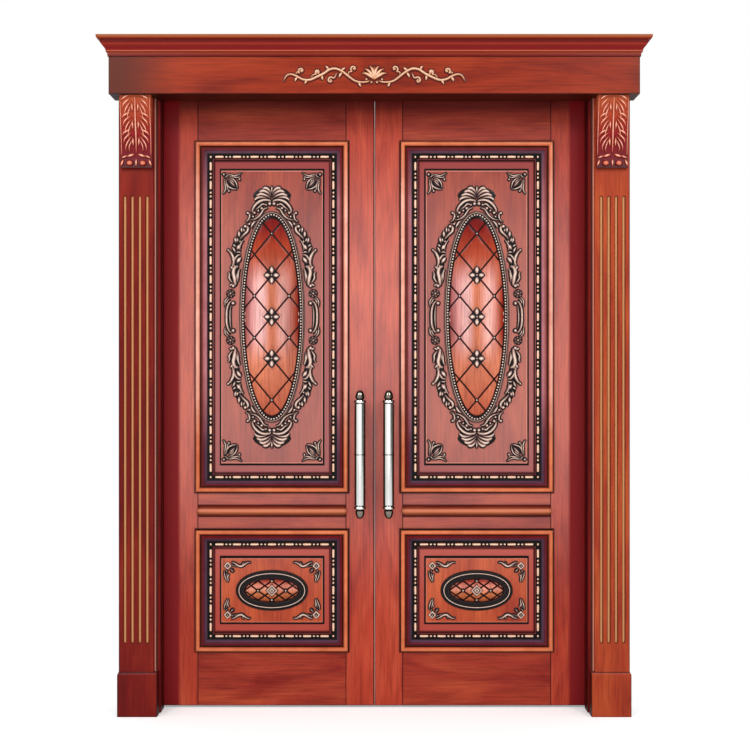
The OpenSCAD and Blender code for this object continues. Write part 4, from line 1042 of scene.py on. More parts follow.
# %% One quarter of the wreath
SCROLLS_SHARE = [
    ([(0.0104, 0.868), (0.014, 0.879), (0.0273, 0.8837), (0.0588, 0.885), (0.0878, 0.8767),
      (0.112, 0.86), (0.1337, 0.8356), (0.1458, 0.811), (0.1458, 0.797), (0.1337, 0.787)], 0.021, 0.5),
    ([(0.1216, 0.814), (0.095, 0.833), (0.0708, 0.8537), (0.0442, 0.8476)], 0.014, 0.7),
    ([(0.0273, 0.828), (0.0588, 0.816), (0.0757, 0.792), (0.095, 0.7654), (0.119, 0.746),
      (0.1458, 0.7364), (0.1724, 0.734)], 0.014, 0.4),
    ([(0.183, 0.7872), (0.17, 0.7775), (0.1688, 0.76), (0.177, 0.7364), (0.2038, 0.7147)], 0.014, 0.5),
    ([(0.1216, 0.7268), (0.136, 0.7147), (0.1506, 0.693), (0.158, 0.672)], 0.017, 0.5),
    ([(0.19, 0.69), (0.183, 0.6778), (0.1805, 0.6657), (0.1878, 0.6464), (0.2072, 0.627),
      (0.2265, 0.6077), (0.2434, 0.586)], 0.02, 0.4),
    ([(0.3305, 0.5061), (0.3111, 0.4868), (0.299, 0.465), (0.2918, 0.4457), (0.2894, 0.4118),
      (0.2966, 0.3876), (0.3015, 0.3634)], 0.022, 0.4),
    ([(0.2313, 0.4699), (0.2555, 0.4674), (0.2725, 0.4505), (0.2821, 0.4336), (0.2845, 0.4167)],
     0.015, 0.5),
    ([(0.2338, 0.4844), (0.2531, 0.4916), (0.27, 0.4868)], 0.012, 0.5),
    ([(0.253, 0.3852), (0.2797, 0.3731), (0.2918, 0.3393), (0.2845, 0.2987), (0.2797, 0.268),
      (0.2773, 0.248), (0.285, 0.238)], 0.03, 0.4),
    ([(0.241, 0.3658), (0.253, 0.3393), (0.2555, 0.2987), (0.26, 0.26)], 0.013, 0.4),
    ([(0.3305, 0.3465), (0.3208, 0.32), (0.3232, 0.297), (0.3111, 0.273), (0.2966, 0.256)], 0.015, 0.5),
    ([(0.304, 0.118), (0.3184, 0.111), (0.3305, 0.0893), (0.34, 0.0554), (0.3426, 0.0192),
      (0.3426, -0.006)], 0.018, 0.9),
    ([(0.309, 0.085), (0.3136, 0.06), (0.317, 0.02), (0.317, -0.006)], 0.01, 0.9),
    ([(0.328, 0.152), (0.3498, 0.128), (0.3546, 0.1038), (0.352, 0.0724)], 0.011, 0.5),
    ([(0.32, 0.14), (0.338, 0.118), (0.342, 0.096)], 0.01, 0.5),
    ([(0.213, 0.585), (0.232, 0.56), (0.2434, 0.53), (0.24, 0.5)], 0.012, 0.5)]
LEAVES_SHARE = [
    ((0.1797, 0.698), (0.1603, 0.711), 0.017, 0.0), ((0.228, 0.638), (0.2313, 0.684), 0.017, 0.0),
    ((0.249, 0.603), (0.254, 0.656), 0.021, 0.05), ((0.271, 0.56), (0.281, 0.607), 0.018, 0.0),
    ((0.272, 0.531), (0.2972, 0.551), 0.014, 0.0), ((0.276, 0.484), (0.306, 0.533), 0.015, 0.08),
    ((0.2338, 0.551), (0.268, 0.508), 0.03, 0.0), ((0.2313, 0.454), (0.267, 0.403), 0.027, 0.05),
    ((0.208, 0.643), (0.2155, 0.674), 0.013, 0.0), ((0.292, 0.352), (0.322, 0.386), 0.015, 0.1),
    ((0.265, 0.6), (0.2555, 0.565), 0.014, 0.0), ((0.2705, 0.43), (0.31, 0.44), 0.012, 0.1),
    ((0.258, 0.345), (0.268, 0.27), 0.012, 0.0), ((0.295, 0.252), (0.327, 0.232), 0.014, 0.0)]
KNOBS_SHARE = [
    ((0.0165, 0.8573), 0.0135), ((0.1313, 0.7885), 0.0115), ((0.0769, 0.8223), 0.0115),
    ((0.1023, 0.8054), 0.0085), ((0.1422, 0.7594), 0.009), ((0.183, 0.7872), 0.0105),
    ((0.2014, 0.6857), 0.0135), ((0.293, 0.2356), 0.0135), ((0.293, 0.1038), 0.0135),
    ((0.2833, 0.3864), 0.006), ((0.0442, 0.8485), 0.0085), ((0.3305, 0.5061), 0.009),
    ((0.2604, 0.581), 0.009), ((0.24, 0.5714), 0.008)]
ROSETTE_SHARE = (0.313, 0.1775)
SHELL_SHARE = [
    ([(0.004, 0.93), (0.018, 0.958), (0.044, 0.976), (0.068, 0.97)], 0.03),
    ([(0.004, 0.912), (0.03, 0.94), (0.066, 0.955), (0.096, 0.944)], 0.03),
    ([(0.004, 0.896), (0.038, 0.918), (0.082, 0.93), (0.118, 0.916)], 0.028),
    ([(0.03, 0.893), (0.07, 0.906), (0.108, 0.902), (0.134, 0.882)], 0.024)]
BOLD = 1.25
GROUND_SHARE = [
    ([(0, 0.945), (0.05, 0.938), (0.1, 0.912), (0.12, 0.89)], 0.085),
    ([(0.2, 0.68), (0.235, 0.62), (0.27, 0.55), (0.29, 0.5)], 0.05),
    ([(0.262, 0.51), (0.27, 0.43), (0.28, 0.38), (0.285, 0.3), (0.29, 0.25)], 0.052)]


def wreath_quarter():
    """Strokes, leaves and knobs of one quarter, with a rosette of six petals, and under
    the ferns and the acanthus a low dark ground, partly dark patina and partly painted shade
    between the strokes."""
    k = WREATH
    parts = []
    for points, width in GROUND_SHARE:
        p, f, t = ribbon(np.array(points) * k, width * k, 1.2 * MM, 0.5, 0.6, 0.6)
        parts.append((p, f, t * 0))
    parts.append(plate(ROSETTE_SHARE[0] * k, ROSETTE_SHARE[1] * k, 0.036 * k, 0.036 * k, 0.5 * MM, 20))
    for points, width, full in SCROLLS_SHARE:
        parts.append(ribbon(np.array(points) * k, width * k * BOLD, WREATH_H, full, start=0.6, end=0.45))
    for points, width in SHELL_SHARE:
        parts.append(ribbon(np.array(points) * k, width * k, WREATH_H, 0.7, 0.25, 0.7))
    for a, b, width, bow in LEAVES_SHARE:
        parts.append(leaf(np.array(a) * k, np.array(b) * k, width * k * BOLD, WREATH_H * 0.8, bow, veins=0))
    for c, r in KNOBS_SHARE:
        parts.append(knob(np.array(c) * k, r * k * 1.1, WREATH_H * 0.9))
    middle = np.array(ROSETTE_SHARE) * k
    parts.append(knob(middle, 0.0095 * k, WREATH_H * 0.9))
    for i in range(6):
        a = (i + 0.3) * np.pi / 3
        away = np.array([math.cos(a), math.sin(a)]) * k
        parts.append(leaf(middle + 0.008 * away, middle + 0.036 * away, 0.027 * k, WREATH_H * 0.65))
    return parts


quarter = wreath_quarter()
wreath_parts = [flip(p, x, z) for p in quarter for x in (False, True) for z in (False, True)]
spike = [plate(0, 0.955 * WREATH, 0.022 * WREATH, 0.045 * WREATH, 1.5 * MM),
         leaf([0, 0.94 * WREATH], [0, 0.999 * WREATH], 0.017 * WREATH, WREATH_H, veins=0)]
wreath_parts += [flip(p, False, z) for p in spike for z in (False, True)]
wreath_flat = stack(wreath_parts)
for side in SIDES:
    on_leaf(side, "wreath_carving", wreath_flat, UP_Z, BRONZE, "wreath")

# %% [markdown]
# ## Corner sprays
# Each corner of an upper field holds a tulip between two curling leaves, and each corner of
# a lower field a diamond flower with a waving leaf. One spray of each kind is drawn, in
# millimetres from the field's lower left corner, and mirrored into the other corners.

# %% Corner sprays
UPPER_STROKES = [
    ([(20, 20), (33, 17), (48, 20.5), (60, 17), (75, 8)], 6),
    ([(24, 26), (38, 23.5), (52, 26), (62, 25), (69, 16)], 5),
    ([(28, 27), (41, 31), (51, 40), (56, 52), (58, 67)], 6.5),
    ([(20, 43), (27, 57), (41, 65), (58, 67)], 6.5),
    ([(29, 32), (40, 38), (47, 47)], 4.5), ([(13, 28), (15, 48), (17, 64), (13, 76), (6, 84)], 6),
    ([(19, 32), (21, 50), (24, 62), (20, 72)], 5), ([(23, 12), (22, 22), (12, 27)], 4),
    ([(62, 26), (66, 31)], 4), ([(24, 66), (28, 71)], 4)]
UPPER_LEAVES = [((27, 33), (52, 60), 19), ((15, 30), (20, 48), 6)]
UPPER_KNOBS = [((11, 15.5), 4.5), ((65.5, 33), 4), ((28.5, 73), 4)]
LOWER_STROKES = [
    ([(35, 15), (48, 18.5), (60, 26.5), (72, 29), (82, 23), (93, 16.5), (106, 17.5)], 9),
    ([(12.5, 45), (14, 60), (19, 74), (25, 86)], 5), ([(20, 52), (23, 64), (26, 75), (25, 86)], 5),
    ([(31, 54), (26, 62), (24.5, 70)], 4.5)]
LOWER_LEAVES = [((74, 27), (80.5, 12), 8), ((36, 23), (47, 29), 8), ((46, 26), (56, 31), 7.5),
                ((33, 36), (46, 52), 11), ((17, 41), (24, 51), 9)]


def spray(strokes, leaves, knobs):
    """Strokes, leaves and knobs from tables in millimetres."""
    parts = [ribbon(np.array(p) * MM, w * MM, 7 * MM, 0.5, 0.45, 0.4) for p, w in strokes]
    parts += [leaf(np.array(a) * MM, np.array(b) * MM, w * MM, 7 * MM, veins=1) for a, b, w in leaves]
    parts += [knob(np.array(c) * MM, r * MM, 7 * MM) for c, r in knobs]
    return parts


def corner_set(w, h, parts):
    """Puts a spray into each of the four corners of a w by h field."""
    made = []
    for p, f, t in parts:
        q = p.copy()
        q[:, 0] -= w / 2
        q[:, 1] -= h / 2
        made += [flip((q, f, t), x, z) for x in (False, True) for z in (False, True)]
    return stack(made)


upper_spray = spray(UPPER_STROKES, UPPER_LEAVES, UPPER_KNOBS)
upper_spray.append(plate(11 * MM, 15.5 * MM, 8.5 * MM, 8.5 * MM, 0.5 * MM, 20))
lower_spray = spray(LOWER_STROKES, LOWER_LEAVES, [((24, 28), 3)])
lower_spray += [plate(24 * MM, 28 * MM, r * MM, r * MM, h * MM, tone=t)
                for r, h, t in ((15.5, 1, 0.0), (13.2, 2.6, 0.9), (8, 3.4, 0.1))]
up_corners = corner_set(FIELD_W, FIELD_UP_H, upper_spray)
low_corners = corner_set(FIELD_W, FIELD_LOW_H, lower_spray)
for side in SIDES:
    for level, flat, z in (("upper", up_corners, UP_Z), ("lower", low_corners, LOW_Z)):
        on_leaf(side, f"{level}_sprays", flat, z, BRONZE, f"{level}_corners")

# %% [markdown]
# ## The frieze's carving
# In the middle of the frieze a lotus stands between two vines. The vines are long strokes,
# with curls and leaves that branch off. One half is drawn, and the other is its mirror.

# %% Lotus and vines
VINE_SHARE = [
    (0.035, -0.032), (0.109, -0.049), (0.198, -0.04), (0.27, 0.005), (0.344, 0.064), (0.418, 0.098),
    (0.491, 0.089), (0.551, 0.049), (0.638, 0.005), (0.712, -0.024), (0.786, -0.018), (0.859, 0.02),
    (0.919, 0.038), (0.963, 0.02), (1.0, -0.044)]
VINE_CURLS = [((0.477, -0.03), 0.038, -0.9, 2.4, [(0.41, 0.06), (0.43, 0.01)]),
              ((0.226, 0.096), 0.036, 0.9, -0.9, [(0.28, 0.02), (0.28, 0.06)]),
              ((0.802, 0.075), 0.032, 1.0, -0.9, [(0.86, 0.03), (0.85, 0.06)]),
              ((0.62, 0.06), 0.028, 0.9, -0.9, [(0.7, -0.01), (0.67, 0.03)])]
VINE_LEAVES = [((0.6, 0.03), (0.66, 0.085)), ((0.35, 0.06), (0.385, -0.005)), ((0.37, 0.08), (0.32, 0.12)),
               ((0.5, 0.085), (0.54, 0.13)), ((0.73, -0.02), (0.76, -0.075)),
               ((0.17, -0.045), (0.14, -0.1)),
               ((0.84, 0.01), (0.87, -0.045)), ((0.57, 0.03), (0.56, -0.03))]


def vine_half():
    """One half: a waving stroke, curls that leave it, leaves, and the lotus petals."""
    k, h = CARVE_HALF, 8 * MM
    parts = [ribbon(np.array(VINE_SHARE) * k, 0.034 * k, h, 0.5, 0.7, 0.6)]
    for centre, radius, turns, begin, tail in VINE_CURLS:
        line = curl(np.array(centre) * k, radius * k, turns, begin, np.array(tail) * k)
        parts.append(ribbon(line, 0.026 * k, h, 0.4, 0.6, 0.6, per=4))
        parts.append(knob(np.array(centre) * k, 0.014 * k, h))
    for a, b in VINE_LEAVES:
        parts.append(leaf(np.array(a) * k, np.array(b) * k, 0.032 * k, h * 0.8, 0.1, veins=0))
    for tip in ((0.062, 0.137), (0.116, 0.101), (0.146, 0.049)):
        parts.append(leaf(np.array([0.0, -0.02]) * k, np.array(tip) * k, 0.04 * k, h, 0.12, veins=0))
    parts += [knob(np.array(c) * k, 0.014 * k, h) for c in ((0.03, -0.05), (0.085, -0.02))]
    return parts


CARVE_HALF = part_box("frieze_carving")[1].x
frieze_flat = stack([flip(p, x) for p in vine_half() for x in (False, True)]
                    + [leaf([0, -0.02 * CARVE_HALF], [0, 0.145 * CARVE_HALF], 0.045 * CARVE_HALF, 8 * MM)])
carve_z = frieze_low.z + (frieze_high.z - frieze_low.z) * 0.42
piece("frieze_vines", stand(frieze_flat, 0, carve_z, frieze_low.y), "frame", GILT,
      ["frieze_carving"])

# %% [markdown]
# ## The corbels
# A corbel is a bracket that leans forward towards its top. An acanthus hangs down its front:
# a rib in the middle, and on each side three tiers of fingers that point down and out. Two
# eggs lie in the row at its foot. The fingers are leaves laid on the bracket's curve.

# %% Corbels
corbel_low, corbel_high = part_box("corbel_right")
CORBEL_D = 46 * MM
CORBEL_W = (corbel_high.x - corbel_low.x) / 2
CORBEL_H = corbel_high.z - corbel_low.z
CORBEL_SLIM = 7 * MM


def lean(t):
    """How far the bracket's front stands out at the share t of its height."""
    return CORBEL_D * (0.32 + 0.5 * t ** 2 - 0.07 * np.sin(2 * np.pi * t))


def bracket_body(nt=41):
    """A slab whose front follows the lean, closed by its back and sides; its low tone paints the
    sides dark, as painted shade.
    """
    t = np.linspace(0, 1, nt)
    ring = np.array([(-1, 0), (-1, 1), (1, 1), (1, 0)], float)
    rows = [np.stack([ring[:, 0] * CORBEL_W, np.full(4, k * CORBEL_H), ring[:, 1] * lean(k)], -1)
            for k in t]
    faces = grid_faces(nt, 4, wrap_cols=True).tolist()
    faces += [[0, 1, 2, 3], [4 * (nt - 1) + j for j in range(4)]]
    return np.concatenate(rows), faces, np.full(4 * nt, 0.05)


def on_bracket(part):
    """Lays flat work, drawn in u from -1 to 1 and t from 0 to 1, on the front."""
    p, f, t = part
    q = p.copy()
    q[:, 2] += lean(np.clip(p[:, 1] / CORBEL_H, 0, 1)) - 0.3 * MM
    q[:, 0] = np.clip(q[:, 0], -CORBEL_W, CORBEL_W)
    q[:, 1] = np.clip(q[:, 1], 0, CORBEL_H)
    return q, f, t


def acanthus():
    """Flat parts of the relief: rib, tiers, eye drops, lip, eggs and corner leaves."""
    size = np.array([CORBEL_W, CORBEL_H])
    h = CORBEL_SLIM

    def plain_leaf(a, b, width):
        return leaf(np.array(a) * size, np.array(b) * size, width * MM, h, veins=0)

    rib = np.array([(0.02, 0.99), (0.0, 0.7), (0.01, 0.4), (0.0, 0.2)]) * size
    parts = [ribbon(rib, 8 * MM, h, 0.5, 0.8, 0.5)]
    for sx in (-1, 1):
        parts.append(ribbon(np.array([(0.93, 0.99), (0.94, 0.6), (0.94, 0.15)]) * [sx, 1] * size, 4 * MM,
                            4 * MM, 0.5, 0.8, 0.8))
        for i, top in enumerate((1.0, 0.76, 0.53)):
            for j, (u0, u1, start, drop) in enumerate(((0.3, 0.88, 0.0, 0.1), (0.24, 0.8, 0.04, 0.17),
                                                       (0.2, 0.62, 0.08, 0.24), (0.16, 0.38, 0.12, 0.26))):
                a = np.array([sx * u0, top - start]) * size
                b = np.array([sx * u1, max(0.2, top - start - drop)]) * size
                parts.append(leaf(a, b, (9 - j) * MM, h, bow=0.14 * sx, veins=0))
            drop = np.array([[sx * 0.2, top - 0.1], [sx * 0.17, top - 0.24]]) * size
            parts.append(leaf(drop[0], drop[1], 8 * MM, h * 1.1, veins=0))
        parts += [plain_leaf([sx * 0.1, 0.19], [sx * 0.62, 0.15], 12),
                  plain_leaf([sx * 0.55, 0.17], [sx * 0.98, 0.13], 8)]
        egg = knob([0, 0], 12.5 * MM, h * 1.2, 24, 7)
        egg[0][:, :2] = egg[0][:, :2] * [1.05, 0.85] + np.array([sx * 0.42, 0.065]) * size
        parts += [(egg[0], egg[1], egg[2] * 0.85), plain_leaf([sx * 0.98, 0.02], [sx * 0.8, 0.12], 10)]
    return parts + [plain_leaf([0, 0.02], [0, 0.13], 9)]


CORBEL_WOOD = patina("corbel_patina_and_painted_light", [
    (0.0, (64, 6, 8)), (0.12, (112, 8, 16)), (0.45, (146, 28, 24)),
    (0.72, (196, 96, 68)), (0.9, (226, 144, 116)), (1.0, (250, 206, 186))], 0.15,
    (corbel_low.z, corbel_high.z, [(0.0, (70, 8, 14)), (0.12, (104, 6, 22)),
                                   (0.45, (138, 10, 22)), (0.62, (160, 44, 22)),
                                   (1.0, (184, 84, 44))]))
bracket = stack([bracket_body()] + [on_bracket(p) for p in acanthus()])
for side in SIDES:
    low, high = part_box(f"corbel_{side}")
    piece(f"acanthus_corbel_{side}", stand(bracket, (low.x + high.x) / 2, low.z, high.y), "frame",
          CORBEL_WOOD, [f"corbel_{side}"], smooth_deg=50)

# %% [markdown]
# ## Crown, half-rounds and handles
# The crown's section is a cyma between fillets. It runs along the front and round both
# ends, so it is a line of points carried along three sides. The half-round on the mid rail
# and the pull handles are turned shapes, made from their outlines.

# %% Crown
crown_low, crown_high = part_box("crown_moulding")
CROWN_H = crown_high.z - crown_low.z
CROWN_OUT = crown_high.x - frieze_high.x
s_curve = np.linspace(0, 1, 14)
CYMA = np.stack([0.24 + 0.46 * (0.5 - 0.5 * np.cos(np.pi * s_curve)) ** 0.9,
                 0.28 + 0.44 * s_curve], -1)
OVOLO = arc(0.8, 0.98, 0.2, -90, -10, 8)
OVOLO[:, 1] = 0.78 + (OVOLO[:, 1] - OVOLO[0, 1]) * 0.75
CROWN_SHARE = np.concatenate([[[0, 0], [0.1, 0], [0.1, 0.22], [0.24, 0.22], [0.24, 0.28]],
                              CYMA[1:], [[0.7, 0.78]], OVOLO, [[1.0, 0.93], [1.0, 1.0]]])


def crown_run():
    """Section points at four corners: wall, front left, front right, wall."""
    u = CROWN_SHARE[:, 0] * CROWN_OUT
    z = crown_low.z + CROWN_SHARE[:, 1] * CROWN_H
    back = crown_high.y
    hw, front = frieze_high.x, frieze_low.y
    rows = []
    for sx, y in ((-1, None), (-1, front), (1, front), (1, None)):
        rows.append(np.stack([sx * (hw + u), np.full_like(u, back) if y is None else y - u, z], -1))
    n = len(u)
    pts = np.stack(rows).reshape(-1, 3)
    faces = grid_faces(4, n).tolist()
    faces.append([0, n, 2 * n, 3 * n])
    faces.append([n - 1, 2 * n - 1, 3 * n - 1, 4 * n - 1])
    faces.append(list(range(n)) + list(range(4 * n - 1, 3 * n - 1, -1)))
    return pts, faces, np.tile(CROWN_SHARE[:, 1], 4)


def crown_finish():
    """Bands by the tone, which is the share of the crown's height: painted highlight lines on the
    fillets and rounds, and dark painted shade in the cove and under the top round.
    """
    finish = Finish("crown_varnish")
    colour, pores = wood_colour(finish, "x", *FRAME_TONES)
    tone = finish.tone()
    bands = finish.ramp(tone, [
        (0.0, (98, 10, 4)), (0.05, (100, 12, 6)), (0.09, (120, 32, 20)), (0.135, (136, 42, 26)),
        (0.18, (146, 52, 30)), (0.22, (132, 42, 18)), (0.25, (178, 84, 56)), (0.28, (182, 88, 60)),
        (0.3, (126, 20, 14)), (0.33, (122, 16, 14)), (0.45, (122, 16, 16)), (0.49, (128, 22, 16)),
        (0.535, (138, 34, 22)), (0.58, (148, 46, 30)), (0.62, (132, 32, 22)), (0.66, (104, 12, 10)),
        (0.71, (84, 2, 2)), (0.75, (116, 24, 18)), (0.8, (120, 30, 14)), (0.845, (138, 50, 20)),
        (0.89, (162, 84, 44)), (0.95, (156, 86, 46)), (1.0, (146, 90, 58))])
    finish.paint(finish.mix(0.95, colour, bands))
    varnish(finish)
    finish.bump(pores, 0.15 * MM, 0.3)
    return finish.material


piece("crown_run", crown_run(), "frame", crown_finish(), ["crown_moulding"],
      smooth_deg=30)

# %% Half-rounds on the mid rails
def half_round():
    """Half a turn of a bar with round ends, its axis lying along x."""
    r = (roll_high.z - roll_low.z) / 2
    l = (roll_high.x - roll_low.x) / 2
    a = np.linspace(0.06, np.pi / 2, 10)
    end = np.stack([-(l - r) - r * np.cos(a), r * np.sin(a)], -1)
    outline = np.concatenate([end, end[::-1] * [-1, 1]])
    return half_turned(outline, [(0, 0)], True, around=21)[0]


def roll_finish():
    """Bands by the height on the half-round: a painted highlight, brightest a little above its
    middle, and painted shade towards its top and foot.
    """
    finish = Finish("roll_varnish")
    colour, pores = wood_colour(finish, "x", (150, 54, 34), (190, 92, 56), (214, 124, 84))
    up = finish.math("SUBTRACT", front_place(finish)[1], roll_low.z)
    share = finish.math("MULTIPLY", up, 1 / (roll_high.z - roll_low.z))
    bands = finish.ramp(share, [
        (0.0, (84, 24, 12)), (0.16, (124, 60, 36)), (0.32, (156, 86, 54)), (0.45, (208, 122, 84)),
        (0.62, (220, 134, 104)), (0.72, (172, 92, 66)), (0.82, (124, 52, 36)), (0.92, (104, 24, 14)),
        (1.0, (84, 6, 4))])
    finish.paint(finish.mix(0.8, colour, bands))
    varnish(finish, 0.28)
    finish.bump(pores, 0.1 * MM, 0.3)
    return finish.material


ROLL = roll_finish()
roll_z = (roll_low.z + roll_high.z) / 2
for side, sign in SIDES.items():
    piece(f"{side}_half_round", stand(half_round(), OPEN_X, roll_z, FACE_Y), f"{side}_leaf",
          ROLL, [f"{side}_rail_roll"], mirror=sign < 0)

# %% [markdown]
# The two leaves need a little room where they meet. A thin slip on the left leaf's edge
# closes it without touching the right leaf.


# %% Meeting slip
def box_part(low, high):
    """A box between two corners, its faces turned outward."""
    (x0, y0, z0), (x1, y1, z1) = low, high
    pts = np.array([[x, y, z] for x in (x0, x1) for y in (y0, y1) for z in (z0, z1)])
    faces = [(0, 1, 3, 2), (4, 6, 7, 5), (0, 4, 5, 1), (2, 3, 7, 6), (0, 2, 6, 4), (1, 5, 7, 3)]
    return pts, faces, np.zeros(8)


def slip_finish():
    """Plain dark wood."""
    finish = Finish("slip_varnish")
    colour, pores = wood_colour(finish, "z", (120, 40, 32), (140, 52, 40), (156, 64, 48))
    finish.paint(colour)
    varnish(finish)
    finish.bump(pores, 0.1 * MM, 0.3)
    return finish.material


SLIP_SINK, SLIP_DEEP, SLIP_PLAY = 2 * MM, 4 * MM, 0.6 * MM
slip = box_part((-lock_low.x, FACE_Y + SLIP_SINK, lock_low.z),
                (lock_low.x - SLIP_PLAY, FACE_Y + SLIP_SINK + SLIP_DEEP, lock_high.z))
piece("meeting_slip", slip, "left_leaf", slip_finish())

# %% Pull handles
bar_low, bar_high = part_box("right_handle_bar")
TUBE_R = 19 * MM
HALF_TUBE = 174 * MM


def handle():
    """A full turn of the handle's outline about its upright axis."""
    ring, collar = 1.6 * MM, 9.5 * MM
    top = (bar_high.z - bar_low.z) / 2
    neck, wide, around = TUBE_R * 0.78, TUBE_R * 1.08, 72
    z1 = HALF_TUBE + 2.4 * MM
    z2 = z1 + collar
    acorn = np.stack([TUBE_R * 0.86 * np.cos(np.linspace(0.1, np.pi / 2 - 0.02, 12)) ** 0.8,
                      z2 + 4 * MM + (top - z2 - 4 * MM) * np.sin(np.linspace(0.1, np.pi / 2, 12))], -1)
    half = np.concatenate([
        [[TUBE_R + 1.4 * MM, 0], [TUBE_R + 1.4 * MM, ring], [TUBE_R, ring + 0.4 * MM],
         [TUBE_R, HALF_TUBE - 1 * MM], [TUBE_R - 1 * MM, HALF_TUBE], [neck, HALF_TUBE],
         [neck, z1], [TUBE_R * 1.02, z1], [wide, z1 + 1.5 * MM],
         [wide, z2 - 1.5 * MM], [TUBE_R * 1.02, z2], [TUBE_R * 0.66, z2],
         [TUBE_R * 0.66, z2 + 3 * MM]], acorn])
    outline = np.concatenate([half[::-1] * [1, -1], half[1:]])
    a = np.linspace(0, 2 * np.pi, around, endpoint=False)
    r, z = outline[:, :1], outline[:, 1:]
    pts = np.stack([r * np.cos(a), r * np.sin(a), np.repeat(z, around, 1)], -1).reshape(-1, 3)
    n = len(outline)
    faces = grid_faces(n, around, wrap_cols=True).tolist()
    faces += [list(range(around)), list(range((n - 1) * around, n * around))]
    centre = (np.array(bar_low) + np.array(bar_high)) / 2
    # Tones for the painted reflection: full on the tube and collars, lower at the foot rings and finials,
    # lowest at the necks.
    tones = [0.3, 0.3, 1, 1, 1, 0.1, 0.1, 1, 1, 1, 1, 0.1, 0.1] + [0.35] * len(acorn)
    return pts + centre, faces, np.repeat(tones[::-1] + tones[1:], around)


HANDLING = (30, 30, 12)


def steel(name, base, roughness):
    """Polished plate: nearly a mirror, with faint clouds from handling."""
    finish = Finish(name)
    finish.set(Metallic=1.0)
    clouds = finish.noise(HANDLING, 3.0, 0.6)
    finish.paint(finish.ramp(clouds, [(0.3, base), (0.7, [min(255, c + 12) for c in base])]))
    rough = finish.math("MULTIPLY_ADD", clouds, 0.08, roughness - 0.04)
    finish.join(rough, finish.shader.inputs["Roughness"])
    return finish.material


def painted_reflection_steel():
    """Painted reflection on a round bar: white where it faces the front or the back, dark on both
    sides, and darkened by the tone at the necks, the foot rings and the finials.
    """
    finish = Finish("painted_reflection_steel")
    finish.set(Metallic=1.0)
    spot = finish.spot("Normal")
    clouds = finish.noise(HANDLING, 3.0, 0.6)
    facing = finish.math("MULTIPLY_ADD", clouds, 0.04, finish.math("ABSOLUTE", spot[1]))
    colour = finish.ramp(facing, [(0.3, (96, 92, 84)), (0.66, (70, 66, 58)),
                                  (0.8, (128, 124, 114)), (0.87, (250, 250, 248))])
    tone = finish.tone()
    shade = finish.ramp(tone, [(0.1, (84, 80, 72)), (0.35, (138, 132, 122)), (0.9, WHITE)])
    finish.paint(finish.mix(1.0, colour, shade, "MULTIPLY"))
    finish.join(finish.math("MULTIPLY_ADD", clouds, 0.08, 0.08), finish.shader.inputs["Roughness"])
    return finish.material


POLISHED = steel("polished_steel", (226, 224, 218), 0.1)
PAINTED_REFLECTION_STEEL = painted_reflection_steel()
SATIN = steel("satin_steel", (172, 172, 174), 0.32)
for side, sign in SIDES.items():
    piece(f"{side}_pull_handle", handle(), f"{side}_leaf", PAINTED_REFLECTION_STEEL,
          [f"{side}_handle_bar"], smooth_deg=40, mirror=sign < 0)
    dress(f"{side}_handle_posts", POLISHED)
    dress(f"{side}_leaf_hinges", SATIN)
    dress(f"frame_hinges_{side}", SATIN)
dress("hinge_pins", SATIN)


def rubber():
    """Nearly black, with a fine speckle."""
    finish = Finish("seal_rubber")
    speck = finish.noise((900, 900, 900), 2.0)
    finish.paint(finish.ramp(speck, [(0.3, (24, 22, 22)), (0.7, (38, 36, 36))]))
    finish.set(Roughness=0.7)
    finish.bump(speck, 0.1 * MM, 0.3)
    return finish.material


dress("rebate_seals", rubber())

# %% [markdown]
# ## Floor, light and camera
# The door stands on a pale floor before a white ground. Two soft lamps stand high in front,
# to the left and right, so that the frame throws a soft shade on the leaves from both sides
# and from above, which painted shade in the leaves' finish deepens. A broad, weak lamp at eye
# height gives the varnish its sheen, and a painted sheen at half height adds to it.


# %% Stage
def pale_ground():
    """White paint that the camera sees a little brighter than the lamps make it, so that
    floor and background run into each other and only the soft shadow shows."""
    finish = Finish("pale_floor")
    finish.set(Roughness=0.9)
    finish.shader.inputs["Base Color"].default_value = (1, 1, 1, 1)
    finish.shader.inputs["Specular IOR Level"].default_value = 0.1
    seen = finish.math("MULTIPLY", finish.add("ShaderNodeLightPath").outputs["Is Camera Ray"], 0.3)
    finish.shader.inputs["Emission Color"].default_value = (1, 1, 1, 1)
    finish.join(seen, finish.shader.inputs["Emission Strength"])
    return finish.material


floor_mesh = bpy.data.meshes.new("floor")
reach = 9.0
floor_mesh.from_pydata([(-reach, -reach, 0), (reach, -reach, 0), (reach, reach, 0), (-reach, reach, 0)],
                       [], [(0, 1, 2, 3)])
floor_mesh.materials.append(pale_ground())
floor = bpy.data.objects.new("floor", floor_mesh)
bpy.context.scene.collection.objects.link(floor)

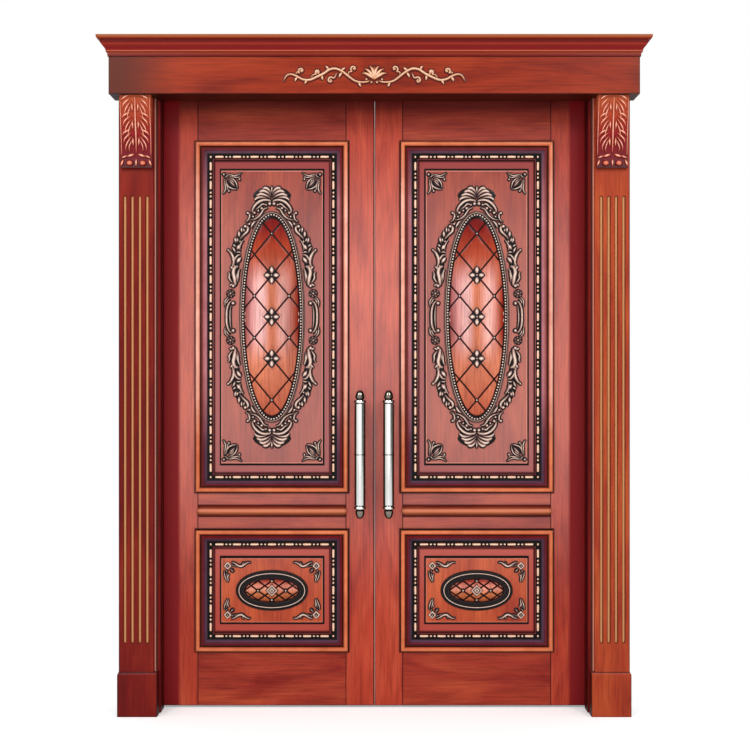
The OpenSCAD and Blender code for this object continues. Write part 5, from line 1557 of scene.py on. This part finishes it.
world = bpy.data.worlds.new("studio")
bpy.context.scene.world = world
world.use_nodes = True
sky = Finish.__new__(Finish)
sky.tree = world.node_tree
ground = sky.tree.nodes["Background"]
ray = sky.add("ShaderNodeLightPath")
way = sky.spot("Generated")
turn = sky.math("ARCTAN2", way[0], sky.math("MULTIPLY", way[1], -1))
place = sky.math("MULTIPLY_ADD", turn, 1 / (2 * math.pi), 0.5)
grey = [(0.0, 0.05), (0.2, 0.07), (0.25, 0.9), (0.6, 0.9), (0.615, 0.12), (0.69, 0.08), (0.706, 0.6),
        (0.79, 0.5), (0.81, 0.05), (1.0, 0.05)]
room = sky.ramp(place, [(at, (v, v * 0.98, v * 0.96, 1)) for at, v in grey], screen=False)
plain_light = sky.mix(ray.outputs["Is Glossy Ray"], (0.7, 0.7, 0.7, 1), room)
sky.join(sky.mix(ray.outputs["Is Camera Ray"], plain_light, (1, 1, 1, 1)), ground.inputs["Color"])


def lamp(name, place, aim, size, power):
    """An area lamp that faces the point aim."""
    data = bpy.data.lights.new(name, "AREA")
    data.shape = "RECTANGLE"
    data.size, data.size_y = size
    data.energy = power
    made = bpy.data.objects.new(name, data)
    made.location = place
    toward = np.array(aim, float) - np.array(place, float)
    made.rotation_euler = (math.atan2(math.hypot(toward[0], toward[1]), -toward[2]), 0,
                           math.atan2(-toward[0], toward[1]))
    bpy.context.scene.collection.objects.link(made)
    return made


for name, x in (("key_left", -2.2), ("key_right", 2.2)):
    lamp(name, (x, -3.6, 3.9), (0, 0, 1.1), (1.2, 1.2), 62)
lamp("sheen", (0, -6.5, 1.2), (0, 0, 1.15), (3.4, 1.6), 24)

# %% Camera at the photograph's angle
LENS, AWAY, EYE_X, EYE_Z = 55.98, 3.93, 0.0024, 1.152
camera_data = bpy.data.cameras.new("camera")
camera_data.sensor_width = 36
camera_data.lens = LENS
camera = bpy.data.objects.new("camera", camera_data)
camera.location = (EYE_X, pilaster_low.y - AWAY, EYE_Z)
camera.rotation_euler = (math.pi / 2, 0, 0)
bpy.context.scene.collection.objects.link(camera)
bpy.context.scene.camera = camera
bpy.context.scene.view_settings.view_transform = "Standard"

# %% Update the view layer
bpy.context.view_layer.update()
